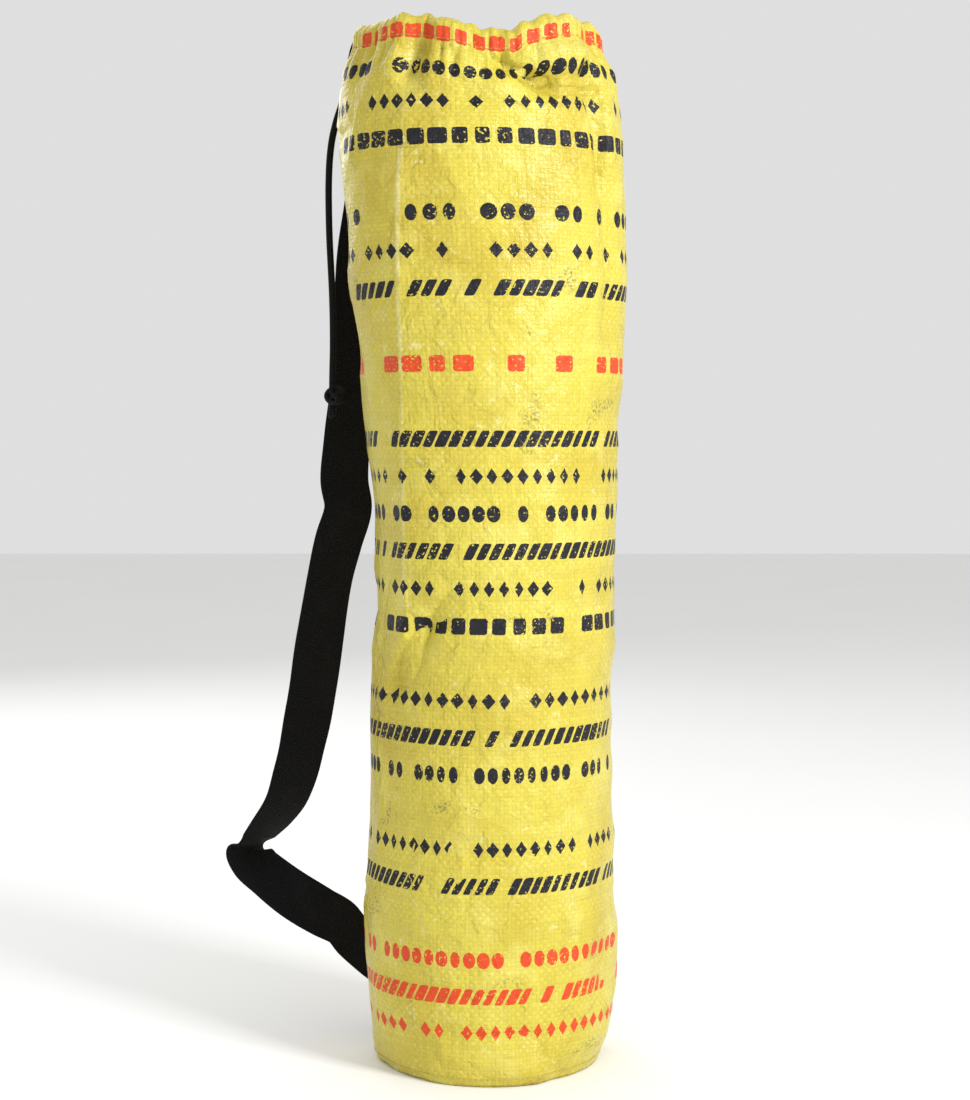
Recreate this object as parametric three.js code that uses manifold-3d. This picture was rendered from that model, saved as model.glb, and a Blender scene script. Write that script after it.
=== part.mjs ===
// A tall drawstring bag for a rolled yoga mat, sewn from one tube of woven plastic sacking.
// The tube's top edge is folded inwards as a casing for the drawcord, its foot is sewn to a round base,
// and a webbing shoulder strap is sewn flat to the back, below the casing and just above the base.
// Lengths are in millimetres and angles in degrees. +Z is up, and the origin is the middle of the base's
// underside. A turn is measured round the bag from its front, which faces -Y, and is positive towards +X.
// An at is a height above the base as a share of the bag's height.
import * as THREE from "three";
import { mergeVertices } from "three/addons/utils/BufferGeometryUtils.js";
import Module from "manifold-3d";

// Bag
const bagHeight = 655;
const bodyRadius = 80;
const clothThickness = 1.2;
const pieceGap = 0.3;

// Casing at the top edge, which the drawcord runs in
const casingHeight = 14;
const casingLean = 5;
const hemTail = 3;
const hemSlit = 0.5;
const channelClearance = 1.3;
const channelRise = 1.6; // the channel's height over the cord, as a share of half its width

// Base
const baseThickness = 1.5;
const baseSeamHeight = 9;

// Drawcord
const cordDiameter = 3;
const cordSpacing = 3.6;
const cordExitTurn = -111;
const cordExitClearance = 1.4;
const cordBend = 1.3; // how far before the hole the cord turns out, as a share of its diameter
const cordBendDepth = 0.35; // where that turn ends, as a share of casingHalf
const cordDrop = 222;
const cordReach = 22;
const knotDiameter = 10;
const knotLength = 13;
const knotSocket = 3;
const knotSocketClearance = 0.6;
const knotEndLength = 9;

// Shoulder strap
const strapWidth = 34;
const strapThickness = 1.8;
const strapTurn = -128;
const strapTopHeight = 633;
const strapFootHeight = 12;
const strapTopSewn = 36;
const strapFootSewn = 24;
const strapReach = 100;
const strapHold = { full: 0.5, none: 0.9 }; // how far it holds the cloth flat, as shares of its width

// Fineness of the facets
const columns = 56;
const edgeFollow = 45; // how far round from the pressed edge the columns follow it, in degrees
const archSteps = 4;
const ringCordSteps = 72;
const ringCordSides = 6;
const tailSteps = 26;
const tailSides = 8;
const holeSteps = 6;
const knotSides = 12;
const knotRings = 8;
const strapSewnSteps = 6;
const strapSteps = 60;
const strapSpans = 4;

const rad = THREE.MathUtils.degToRad;
const smooth = (low, high, x) => THREE.MathUtils.smoothstep(x, low, high);

// How the bag's outline changes with height. Width, depth and drift are shares of bodyRadius: width and
// depth are half the bag's spans along X and Y, and drift moves its middle along X.
const sections = [
  { at: 0.0, width: 0.912, depth: 0.92, drift: 0.0 },
  { at: 0.01, width: 0.94, depth: 0.945, drift: 0.0 },
  { at: 0.049, width: 0.972, depth: 0.965, drift: 0.0 },
  { at: 0.089, width: 0.993, depth: 0.98, drift: -0.004 },
  { at: 0.147, width: 1.0, depth: 0.985, drift: -0.01 },
  { at: 0.205, width: 0.981, depth: 0.985, drift: -0.002 },
  { at: 0.282, width: 0.965, depth: 0.985, drift: 0.0 },
  { at: 0.362, width: 0.963, depth: 0.985, drift: 0.003 },
  { at: 0.42, width: 0.956, depth: 0.985, drift: 0.028 },
  { at: 0.478, width: 0.95, depth: 0.985, drift: 0.036 },
  { at: 0.537, width: 0.969, depth: 0.985, drift: 0.03 },
  { at: 0.595, width: 1.0, depth: 0.985, drift: 0.005 },
  { at: 0.673, width: 1.05, depth: 0.97, drift: -0.003 },
  { at: 0.713, width: 1.08, depth: 0.96, drift: -0.018 },
  { at: 0.771, width: 1.112, depth: 0.95, drift: -0.04 },
  { at: 0.849, width: 1.119, depth: 0.95, drift: -0.065 },
  { at: 0.908, width: 1.119, depth: 0.95, drift: -0.09 },
  { at: 0.947, width: 1.094, depth: 0.94, drift: -0.104 },
  { at: 0.966, width: 1.044, depth: 0.92, drift: -0.106 },
  { at: 0.986, width: 0.975, depth: 0.88, drift: -0.108 },
  { at: 1.0, width: 0.93, depth: 0.86, drift: -0.108 },
];

// Dents (negative height) and bulges in the cloth, each along a straight run from one place on it to
// another. Height and spread are shares of bodyRadius.
const folds = [
  { turn: -26, at: 0.965, endTurn: -29, endAt: 0.945, height: -0.06, spread: 0.09 },
  { turn: 11, at: 0.962, endTurn: 28, endAt: 0.937, height: -0.09, spread: 0.11 },
  { turn: 30, at: 0.935, endTurn: 52, endAt: 0.937, height: -0.07, spread: 0.1 },
  { turn: 24, at: 0.975, endTurn: 48, endAt: 0.962, height: 0.05, spread: 0.15 },
  { turn: 51, at: 0.95, endTurn: 58, endAt: 0.84, height: -0.055, spread: 0.09 },
  { turn: 58, at: 0.83, endTurn: 59, endAt: 0.7, height: -0.035, spread: 0.13 },
  { turn: -30, at: 0.44, endTurn: -52, endAt: 0.371, height: -0.06, spread: 0.11 },
  { turn: -44, at: 0.42, endTurn: -60, endAt: 0.36, height: 0.03, spread: 0.12 },
  { turn: -80, at: 0.452, endTurn: -100, endAt: 0.44, height: -0.035, spread: 0.12 },
  { turn: 150, at: 0.93, endTurn: 165, endAt: 0.7, height: -0.045, spread: 0.16 },
  { turn: 110, at: 0.6, endTurn: 135, endAt: 0.42, height: -0.04, spread: 0.18 },
  { turn: -170, at: 0.5, endTurn: 172, endAt: 0.3, height: -0.035, spread: 0.18 },
];

// The sack's old pressed edge: a sharp ridge down the front left, from top to foot. It fades in and out
// between a little below and a little above its two ends.
const pressedEdge = {
  topTurn: -30,
  footTurn: -45,
  top: 0.92,
  foot: 0.42,
  height: 0.075,
  spread: 0.36,
  topFade: { below: 0.08, above: 0.02 },
  footFade: { below: 0.06, above: 0.08 },
};

// The gathers that the drawcord pulls into the top: a wave round the bag that fades out below the casing.
// Wander shifts the waves, in degrees, so that no two are alike, twice and, by the share ripple, five
// times round the bag; height is a share of bodyRadius.
const gathers = { count: 12, wander: 50, start: 34, ripple: 0.4, height: -0.052, foot: 0.905, top: 0.98 };

// The rim's dip at the front; height is a share of bodyRadius.
const rimDip = { turn: 4, spread: 26, height: -0.18, foot: 0.88 };

// The strap's free length. Up is a share of the height between its two sewn ends, turn and away give its
// middle line round the bag and outside the cloth, away as a share of strapReach, and swing and rise give
// the direction across it: its angle from +X round Z, and its slope.
const strapRoute = [
  { up: 0.944, turn: -131, away: 0.095, swing: 45, rise: 0 },
  { up: 0.847, turn: -128, away: 0.16, swing: 36, rise: 0 },
  { up: 0.705, turn: -123.5, away: 0.245, swing: 30, rise: 0 },
  { up: 0.594, turn: -120, away: 0.34, swing: 26, rise: -3 },
  { up: 0.559, turn: -120, away: 0.335, swing: 25, rise: -5 },
  { up: 0.52, turn: -118, away: 0.4, swing: 28, rise: -22 },
  { up: 0.477, turn: -116.7, away: 0.455, swing: 33, rise: -14 },
  { up: 0.403, turn: -115.6, away: 0.5, swing: 27, rise: -10 },
  { up: 0.344, turn: -114.9, away: 0.525, swing: 26, rise: -12 },
  { up: 0.29, turn: -113.5, away: 0.57, swing: 30, rise: -14 },
  { up: 0.249, turn: -112.6, away: 0.615, swing: 36, rise: -18 },
  { up: 0.211, turn: -112.7, away: 0.69, swing: 43, rise: -19 },
  { up: 0.184, turn: -113.1, away: 0.8, swing: 48, rise: -12 },
  { up: 0.164, turn: -113.5, away: 0.9, swing: 49, rise: 0 },
  { up: 0.149, turn: -113.3, away: 0.975, swing: 48, rise: 16 },
  { up: 0.133, turn: -112.2, away: 0.9, swing: 48, rise: 27 },
  { up: 0.118, turn: -111.2, away: 0.755, swing: 49, rise: 32 },
  { up: 0.099, turn: -111.2, away: 0.58, swing: 48, rise: 40 },
  { up: 0.08, turn: -114, away: 0.42, swing: 56, rise: 48 },
  { up: 0.065, turn: -118.5, away: 0.32, swing: 62, rise: 46 },
  { up: 0.048, turn: -120.5, away: 0.26, swing: 60, rise: 36 },
  { up: 0.028, turn: -123, away: 0.17, swing: 57, rise: 22 },
  { up: 0.01, turn: -126, away: 0.075, swing: 54, rise: 8 },
];

// Where each free end of the drawcord runs: out is a share of cordReach beyond the exit hole, down a share
// of cordDrop below it, and apart a share of cordSpacing between the two ends.
const tailRoute = [
  { out: 0.0, down: 0.0, apart: 1 },
  { out: 0.09, down: 0.0, apart: 1 },
  { out: 0.18, down: 0.016, apart: 1 },
  { out: 0.25, down: 0.042, apart: 1 },
  { out: 0.31, down: 0.075, apart: 1 },
  { out: 0.39, down: 0.115, apart: 1 },
  { out: 0.52, down: 0.16, apart: 1 },
  { out: 0.71, down: 0.21, apart: 1 },
  { out: 0.87, down: 0.265, apart: 1 },
  { out: 0.96, down: 0.325, apart: 1 },
  { out: 1.0, down: 0.4, apart: 1 },
  { out: 1.0, down: 0.48, apart: 1 },
  { out: 0.98, down: 0.56, apart: 1 },
  { out: 0.94, down: 0.64, apart: 1 },
  { out: 0.9, down: 0.72, apart: 1 },
  { out: 0.88, down: 0.8, apart: 1 },
  { out: 0.88, down: 0.88, apart: 0.98 },
  { out: 0.9, down: 0.95, apart: 0.95 },
  { out: 0.91, down: 1.0, apart: 0.93 },
];

// A value between the rows of a table, on a smooth curve through them.
function between(table, name, at) {
  const last = table.length - 1;
  let i = 0;
  while (i < last - 1 && table[i + 1].at < at) i += 1;
  const slope = (k) => {
    const low = table[Math.max(k - 1, 0)];
    const high = table[Math.min(k + 1, last)];
    return (high[name] - low[name]) / (high.at - low.at);
  };
  const span = table[i + 1].at - table[i].at;
  const t = THREE.MathUtils.clamp((at - table[i].at) / span, 0, 1);
  const t2 = t * t;
  const t3 = t2 * t;
  return (
    (2 * t3 - 3 * t2 + 1) * table[i][name] +
    (t3 - 2 * t2 + t) * span * slope(i) +
    (3 * t2 - 2 * t3) * table[i + 1][name] +
    (t3 - t2) * span * slope(i + 1)
  );
}

const wrapTurn = (turn) => ((((turn + 180) % 360) + 360) % 360) - 180;
const arcOf = (turn) => rad(turn) * bodyRadius;
const turnOf = (arc) => THREE.MathUtils.radToDeg(arc / bodyRadius);
const outwards = (turn) => new THREE.Vector3(Math.sin(rad(turn)), -Math.cos(rad(turn)), 0);
const sideways = (turn) => new THREE.Vector3(Math.cos(rad(turn)), Math.sin(rad(turn)), 0);
const upwards = (up) => new THREE.Vector3(0, 0, up);

// How far a place on the cloth lies from a fold's run, along the cloth.
function distanceToFold(fold, turn, at) {
  const runArc = arcOf(wrapTurn(fold.endTurn - fold.turn));
  const runUp = (fold.endAt - fold.at) * bagHeight;
  const arc = arcOf(wrapTurn(turn - fold.turn));
  const up = (at - fold.at) * bagHeight;
  const t = THREE.MathUtils.clamp((arc * runArc + up * runUp) / (runArc ** 2 + runUp ** 2), 0, 1);
  return Math.hypot(arc - t * runArc, up - t * runUp);
}

// The turn that the pressed edge has at a height.
function edgeTurn(at) {
  const share = THREE.MathUtils.clamp((at - pressedEdge.foot) / (pressedEdge.top - pressedEdge.foot), 0, 1);
  return THREE.MathUtils.lerp(pressedEdge.footTurn, pressedEdge.topTurn, share);
}

// Each gather is a narrow valley between two rounder bulges.
function gatherDepth(turn, at) {
  const uneven = Math.sin(rad(2 * turn + gathers.start)) + gathers.ripple * Math.sin(rad(5 * turn));
  const wander = rad(gathers.wander) * uneven;
  const valley = (0.5 + 0.5 * Math.cos(gathers.count * rad(turn) + wander)) ** 2;
  return gathers.height * valley * smooth(gathers.foot, gathers.top, at);
}

// The strap's sewn ends hold the cloth flat, so the folds fade out beside it.
function besideStrap(turn) {
  const away = Math.abs(arcOf(wrapTurn(turn - strapTurn)));
  return smooth(strapWidth * strapHold.full, strapWidth * strapHold.none, away);
}

// How far the folds raise the cloth's outside above its plain section.
function foldHeight(turn, at) {
  let height = gatherDepth(turn, at);
  for (const fold of folds) {
    height += fold.height * Math.exp(-((distanceToFold(fold, turn, at) / (fold.spread * bodyRadius)) ** 2));
  }
  const fromEdge = Math.abs(arcOf(wrapTurn(turn - edgeTurn(at)))) / (pressedEdge.spread * bodyRadius);
  const { top, foot, topFade, footFade } = pressedEdge;
  const shown =
    smooth(foot - footFade.below, foot + footFade.above, at) *
    (1 - smooth(top - topFade.below, top + topFade.above, at));
  height += pressedEdge.height * Math.exp(-fromEdge) * shown;
  return height * bodyRadius * besideStrap(turn);
}

function rimDrop(turn, at) {
  const share = Math.exp(-((wrapTurn(turn - rimDip.turn) / rimDip.spread) ** 2));
  return rimDip.height * bodyRadius * share * smooth(rimDip.foot, 1, at);
}

// A point moved outwards by offset from the bag's plain section, without its folds.
function sectionPoint(turn, at, offset = 0) {
  const out = outwards(turn);
  const width = between(sections, "width", at) * bodyRadius + offset;
  const depth = between(sections, "depth", at) * bodyRadius + offset;
  const drift = between(sections, "drift", at) * bodyRadius;
  return new THREE.Vector3(drift + width * out.x, depth * out.y, at * bagHeight + rimDrop(turn, at));
}

// A point moved outwards by offset from the cloth's outside.
const clothPoint = (turn, at, offset = 0) => sectionPoint(turn, at, foldHeight(turn, at) + offset);

// A closed mesh through rings of points. Each ring joins the next. The last one joins the first, or both
// are closed by a fan of triangles round their middle.
function loft(rings, joinEnds) {
  const count = rings[0].length;
  const positions = rings.flat().flatMap((p) => [p.x, p.y, p.z]);
  const faces = [];
  const bands = joinEnds ? rings.length : rings.length - 1;
  for (let i = 0; i < bands; i += 1) {
    for (let j = 0; j < count; j += 1) {
      const a = i * count + j;
      const b = i * count + ((j + 1) % count);
      const c = ((i + 1) % rings.length) * count + ((j + 1) % count);
      const d = ((i + 1) % rings.length) * count + j;
      faces.push(a, b, c, a, c, d);
    }
  }
  const fan = (ring, first, forwards) => {
    const middle = ring.reduce((sum, p) => sum.add(p), new THREE.Vector3()).divideScalar(count);
    const hub = positions.length / 3;
    positions.push(middle.x, middle.y, middle.z);
    for (let j = 0; j < count; j += 1) {
      const a = first + j;
      const b = first + ((j + 1) % count);
      faces.push(...(forwards ? [hub, a, b] : [hub, b, a]));
    }
  };
  if (!joinEnds) {
    fan(rings[0], 0, false);
    fan(rings[rings.length - 1], (rings.length - 1) * count, true);
  }
  const geometry = new THREE.BufferGeometry();
  geometry.setAttribute("position", new THREE.Float32BufferAttribute(positions, 3));
  geometry.setIndex(faces);
  return geometry;
}

// Solids for cutting and joining
const wasm = await Module();
wasm.setup();

function solidOf(geometry) {
  const bare = geometry.clone();
  bare.deleteAttribute("normal");
  bare.deleteAttribute("uv");
  const merged = mergeVertices(bare, 1e-4);
  return new wasm.Manifold(
    new wasm.Mesh({
      numProp: 3,
      vertProperties: new Float32Array(merged.attributes.position.array),
      triVerts: new Uint32Array(merged.index.array),
    }),
  );
}

function geometryOf(solid) {
  const mesh = solid.getMesh();
  const geometry = new THREE.BufferGeometry();
  geometry.setAttribute("position", new THREE.BufferAttribute(new Float32Array(mesh.vertProperties), 3));
  geometry.setIndex(new THREE.BufferAttribute(new Uint32Array(mesh.triVerts), 1));
  return geometry;
}

// A closed round tube along a curve.
function tubeAlong(curve, diameter, steps, sides) {
  const section = new THREE.Shape();
  for (let k = 0; k < sides; k += 1) {
    const angle = (2 * Math.PI * k) / sides;
    const corner = new THREE.Vector2(Math.cos(angle), Math.sin(angle)).multiplyScalar(diameter / 2);
    if (k === 0) section.moveTo(corner.x, corner.y);
    else section.lineTo(corner.x, corner.y);
  }
  return new THREE.ExtrudeGeometry(section, { steps, extrudePath: curve, bevelEnabled: false });
}

// Casing
// Its cross-section is drawn as points (out, up) from the line of stitches that closes it. The cloth goes
// up outside the cord, over it in half an ellipse and down inside it to the stitches, and its raw edge
// hangs a little below them.
const stitchAt = 1 - casingHeight / bagHeight;
const channelHalf = cordDiameter / 2 + channelClearance;
const casingHalf = channelHalf + clothThickness;
const channelTop = casingHeight - clothThickness;
const cordUp = channelTop - channelHalf * channelRise;
const stitchOut = hemSlit / 2 + clothThickness;

// Half an ellipse from the outer side over to the inner one.
function arch(half, top) {
  return Array.from({ length: archSteps + 1 }, (_, k) => {
    const angle = (Math.PI * k) / archSteps;
    return { out: half * Math.cos(angle), up: cordUp + (top - cordUp) * Math.sin(angle) };
  });
}

const casingProfile = [
  ...arch(casingHalf, casingHeight),
  { out: -stitchOut, up: 0 },
  { out: -stitchOut, up: -hemTail },
  { out: -hemSlit / 2, up: -hemTail },
  { out: -hemSlit / 2, up: 0 },
  ...arch(channelHalf, channelTop).reverse(),
];

// A point of the casing at a turn. The casing leans inwards as it goes up.
function casingPoint(turn, { out, up }) {
  const lean = (casingLean * Math.max(up, 0)) / casingHeight;
  return clothPoint(turn, stitchAt, out - lean - stitchOut).add(upwards(up));
}

// Bag wall
// Its rings have a column of corners that follows the pressed edge.
const wallRows = [
  0, 0.005, 0.013, 0.035, 0.07, 0.12, 0.18, 0.25, 0.32, 0.36, 0.39, 0.42, 0.45, 0.5, 0.57, 0.64, 0.7, 0.76, 0.82, 0.87,
  0.9, 0.925, 0.942, 0.957,
].filter((at) => at < stitchAt - 0.01);

function ringAt(at, pointAt) {
  return Array.from({ length: columns }, (_, j) => {
    const away = wrapTurn((j * 360) / columns);
    const follow = Math.exp(-((away / edgeFollow) ** 2));
    const turn = THREE.MathUtils.lerp(pressedEdge.topTurn, edgeTurn(at), follow) + away;
    return pointAt(turn);
  });
}

const outside = [...wallRows, stitchAt].map((at) => ringAt(at, (turn) => clothPoint(turn, at)));
const casing = casingProfile.map((place) => ringAt(stitchAt, (turn) => casingPoint(turn, place)));
const inside = [...wallRows, stitchAt]
  .reverse()
  .map((at) => ringAt(at, (turn) => clothPoint(turn, at, -clothThickness)));
const wallSolid = solidOf(loft([...outside, ...casing, ...inside], true));

// The exit hole, through the casing's outer layer only
const exitOut = outwards(cordExitTurn);
const exitSide = sideways(cordExitTurn);
const exitSeat = casingPoint(cordExitTurn, { out: 0, up: cordUp });
const holeRadius = cordDiameter / 2 + cordExitClearance;
const holeOutline = new THREE.Shape();
holeOutline.absarc(cordSpacing / 2, 0, holeRadius, -Math.PI / 2, Math.PI / 2, false);
holeOutline.absarc(-cordSpacing / 2, 0, holeRadius, Math.PI / 2, (3 * Math.PI) / 2, false);
const holeCutter = new THREE.ExtrudeGeometry(holeOutline, {
  depth: 3 * casingHalf,
  curveSegments: holeSteps,
  bevelEnabled: false,
});
holeCutter.applyMatrix4(new THREE.Matrix4().makeBasis(exitSide, upwards(1), exitOut).setPosition(exitSeat));
const wallGeometry = geometryOf(wallSolid.subtract(solidOf(holeCutter)));

// Base
// A round panel whose edge turns up inside the wall, as its seam allowance.
const seamRows = wallRows.filter((at) => at * bagHeight <= baseSeamHeight);
const baseRing = (at, inset, lift = 0) =>
  ringAt(at, (turn) => clothPoint(turn, at, -clothThickness - pieceGap - inset).add(upwards(lift)));
const baseDisc = (height) =>
  baseRing(0, baseThickness).map((p) => new THREE.Vector3(p.x / 2, p.y / 2, height));
const baseGeometry = loft(
  [
    baseDisc(0),
    ...seamRows.map((at) => baseRing(at, 0)),
    ...seamRows.slice(1).reverse().map((at) => baseRing(at, baseThickness)),
    baseRing(0, baseThickness, baseThickness),
    baseDisc(baseThickness),
  ],
  false,
);

// Drawcord
// Inside the casing it goes once round, and both its ends turn out through the hole.
const tailStart = casingHalf + cordDiameter / 2;
const exitPoint = (side, out) =>
  exitSeat
    .clone()
    .addScaledVector(exitSide, (side * cordSpacing) / 2)
    .addScaledVector(exitOut, out);
const bendTurn = turnOf(cordSpacing / 2 + cordBend * cordDiameter);
const ringTurns = Array.from({ length: columns + 1 }, (_, k) => {
  return cordExitTurn + bendTurn + ((360 - 2 * bendTurn) * k) / columns;
});
const ringCurve = new THREE.CatmullRomCurve3(
  [
    exitPoint(1, tailStart),
    exitPoint(1, casingHalf),
    exitPoint(1, casingHalf * cordBendDepth),
    ...ringTurns.map((turn) => casingPoint(turn, { out: 0, up: cordUp })),
    exitPoint(-1, casingHalf * cordBendDepth),
    exitPoint(-1, casingHalf),
    exitPoint(-1, tailStart),
  ],
  false,
  "centripetal",
);
const ringGeometry = tubeAlong(ringCurve, cordDiameter, ringCordSteps, ringCordSides);

function tailPoint(side, { out, down, apart }) {
  return exitPoint(side * apart, tailStart + pieceGap + out * cordReach).sub(upwards(down * cordDrop));
}

function tailGeometry(side) {
  const points = tailRoute.map((place) => tailPoint(side, place));
  const route = new THREE.CatmullRomCurve3(points, false, "centripetal");
  return tubeAlong(route, cordDiameter, tailSteps, tailSides);
}

// Knot
// Both free ends go into it from above, and their cut ends stick out below.
const tailFoot = tailRoute[tailRoute.length - 1];
const knotTop = tailPoint(0, tailFoot).z + knotSocket;
const knotMiddle = tailPoint(0, tailFoot).setZ(knotTop - knotLength / 2);
const knotBall = new THREE.SphereGeometry(knotDiameter / 2, knotSides, knotRings);
knotBall.rotateX(Math.PI / 2);
knotBall.scale(1, 1, knotLength / knotDiameter);
knotBall.translate(knotMiddle.x, knotMiddle.y, knotMiddle.z);

function uprightTube(point, low, high, diameter) {
  const line = new THREE.LineCurve3(point.clone().setZ(low), point.clone().setZ(high));
  return solidOf(tubeAlong(line, diameter, 1, tailSides));
}

let knotSolid = solidOf(knotBall);
for (const side of [1, -1]) {
  const end = tailPoint(side, tailFoot);
  const knotFoot = knotTop - knotLength;
  const socketWidth = cordDiameter + 2 * knotSocketClearance;
  const socket = uprightTube(end, end.z - pieceGap, knotTop + knotLength, socketWidth);
  const cutEnd = uprightTube(end, knotFoot - knotEndLength, knotMiddle.z - pieceGap, cordDiameter);
  knotSolid = knotSolid.add(cutEnd).subtract(socket);
}
const knotGeometry = geometryOf(knotSolid);

// Shoulder strap
// One ribbon. Its sewn ends follow the cloth, and its free length hangs in a loop beside the bag.
const strapOffset = pieceGap + strapThickness / 2;
const sewnTopFoot = strapTopHeight - strapTopSewn;
const sewnFootTop = strapFootHeight + strapFootSewn;

// The ribbon's middle sheet at a height on the cloth, with its outer direction, at each point across it.
function sewnStation(height) {
  return Array.from({ length: strapSpans + 1 }, (_, i) => {
    const turn = strapTurn - turnOf(strapWidth * (i / strapSpans - 0.5));
    return { point: clothPoint(turn, height / bagHeight, strapOffset), out: outwards(turn) };
  });
}

function routePoint({ up, turn, away }) {
  const height = THREE.MathUtils.lerp(sewnFootTop, sewnTopFoot, up);
  return sectionPoint(turn, height / bagHeight, strapOffset + away * strapReach);
}

const acrossOf = ({ swing, rise }) =>
  new THREE.Vector3(1, 0, 0)
    .applyAxisAngle(new THREE.Vector3(0, 1, 0), -rad(rise))
    .applyAxisAngle(new THREE.Vector3(0, 0, 1), rad(swing));

const sewnMiddle = (height) => clothPoint(strapTurn, height / bagHeight, strapOffset);
const sewnAcross = sideways(strapTurn).negate();
const strapMiddle = new THREE.CatmullRomCurve3([
  sewnMiddle(strapTopHeight),
  sewnMiddle(sewnTopFoot),
  ...strapRoute.map(routePoint),
  sewnMiddle(sewnFootTop),
  sewnMiddle(strapFootHeight),
]);
const strapAcross = new THREE.CatmullRomCurve3([
  sewnAcross,
  sewnAcross,
  ...strapRoute.map(acrossOf),
  sewnAcross,
  sewnAcross,
]);
const strapLegs = strapRoute.length + 3;

// The ribbon's middle sheet in its free length, at a share of it.
function freeStation(share) {
  const t = THREE.MathUtils.lerp(1, strapLegs - 1, share) / strapLegs;
  const middle = strapMiddle.getPoint(t);
  const along = strapMiddle.getTangent(t);
  const across = strapAcross.getPoint(t);
  across.addScaledVector(along, -across.dot(along)).normalize();
  const out = new THREE.Vector3().crossVectors(across, along);
  return Array.from({ length: strapSpans + 1 }, (_, i) => {
    return { point: middle.clone().addScaledVector(across, strapWidth * (i / strapSpans - 0.5)), out };
  });
}

function sewnStations(top, foot) {
  return Array.from({ length: strapSewnSteps + 1 }, (_, k) =>
    sewnStation(THREE.MathUtils.lerp(top, foot, k / strapSewnSteps)),
  );
}

const strapStations = [
  ...sewnStations(strapTopHeight, sewnTopFoot),
  ...Array.from({ length: strapSteps - 1 }, (_, k) => freeStation((k + 1) / strapSteps)),
  ...sewnStations(sewnFootTop, strapFootHeight),
];
const strapRings = strapStations.map((station) => {
  const face = (side) => station.map(({ point, out }) => point.clone().addScaledVector(out, side));
  return [...face(strapThickness / 2), ...face(-strapThickness / 2).reverse()];
});
const strapGeometry = loft(strapRings, false);

const paint = (colour, roughness) => new THREE.MeshStandardMaterial({ color: colour, roughness, metalness: 0 });
const sackingMaterial = paint(0xd9c84e, 0.42);
const cordMaterial = paint(0x0b0b0d, 0.85);
const webbingMaterial = paint(0x0d0d0f, 0.8);

const bag = new THREE.Group();
function addPiece(name, geometry, material) {
  const mesh = new THREE.Mesh(geometry, material);
  mesh.name = name;
  bag.add(mesh);
}
addPiece("bag_wall", wallGeometry, sackingMaterial);
addPiece("base_panel", baseGeometry, sackingMaterial);
addPiece("drawcord_ring", ringGeometry, cordMaterial);
addPiece("cord_tail_front", tailGeometry(1), cordMaterial);
addPiece("cord_tail_back", tailGeometry(-1), cordMaterial);
addPiece("cord_knot", knotGeometry, cordMaterial);
addPiece("shoulder_strap", strapGeometry, webbingMaterial);

export default bag;
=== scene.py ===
"""The looks of a tall drawstring bag for a rolled yoga mat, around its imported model.

The bag is one tube of woven sacking on a round base. Its top edge is folded in as a casing for a knotted
drawcord, and a webbing strap is sewn flat to its back. Lengths are in metres and angles in degrees. +Z is
up, and the origin is the middle of the base's underside. A turn is measured round the bag from its front,
which faces -Y, and is positive towards +X. An at is a height as a share of the bag's height.
"""

import math

import bpy
import numpy as np
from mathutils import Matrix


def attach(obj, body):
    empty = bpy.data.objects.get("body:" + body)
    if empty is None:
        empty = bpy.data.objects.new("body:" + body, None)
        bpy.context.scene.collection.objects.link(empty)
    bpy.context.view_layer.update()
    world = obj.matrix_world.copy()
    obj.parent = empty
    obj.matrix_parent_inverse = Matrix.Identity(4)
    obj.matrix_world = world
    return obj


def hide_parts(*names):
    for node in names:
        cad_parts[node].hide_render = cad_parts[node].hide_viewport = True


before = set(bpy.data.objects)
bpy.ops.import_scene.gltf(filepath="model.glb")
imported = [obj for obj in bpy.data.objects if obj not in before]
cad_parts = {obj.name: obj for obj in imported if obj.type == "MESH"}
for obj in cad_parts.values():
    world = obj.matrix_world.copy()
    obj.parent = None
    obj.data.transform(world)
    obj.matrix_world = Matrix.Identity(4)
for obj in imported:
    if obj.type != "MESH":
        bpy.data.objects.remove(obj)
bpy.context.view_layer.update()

# Bag
BAG_HEIGHT = 0.655
BODY_RADIUS = 0.08
CLOTH_THICKNESS = 0.0012
PIECE_GAP = 0.0003

# Casing
CASING_HEIGHT = 0.014
CASING_LEAN = 0.005
HEM_TAIL = 0.003
HEM_SLIT = 0.0005
CHANNEL_CLEARANCE = 0.0013

# Base
BASE_THICKNESS = 0.0015
BASE_SEAM_HEIGHT = 0.0085

# Drawcord
CORD_DIAMETER = 0.003
CORD_SPACING = 0.0036
CORD_EXIT_TURN = -111
CORD_EXIT_CLEARANCE = 0.0014
CORD_DROP = 0.222
CORD_REACH = 0.022
KNOT_LENGTH = 0.013
KNOT_SOCKET = 0.003
KNOT_END_LENGTH = 0.009

# Shoulder strap
STRAP_WIDTH = 0.034
STRAP_THICKNESS = 0.0018
STRAP_TURN = -128
STRAP_TOP_HEIGHT = 0.633
STRAP_FOOT_HEIGHT = 0.012
STRAP_TOP_SEWN = 0.036
STRAP_FOOT_SEWN = 0.024
STRAP_REACH = 0.1

# The strap holds the cloth flat up to the first share of its width from its middle, and the folds are
# full past the second.
STRAP_HOLD = (0.5, 0.9)

# Woven surface
TAPES_ROUND = 194
TAPE_WIDTH = 2 * math.pi * BODY_RADIUS / TAPES_ROUND


def table(columns, rows):
    """The rows of a table, each as a dict of its columns."""
    return [dict(zip(columns, row)) for row in rows]


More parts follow.
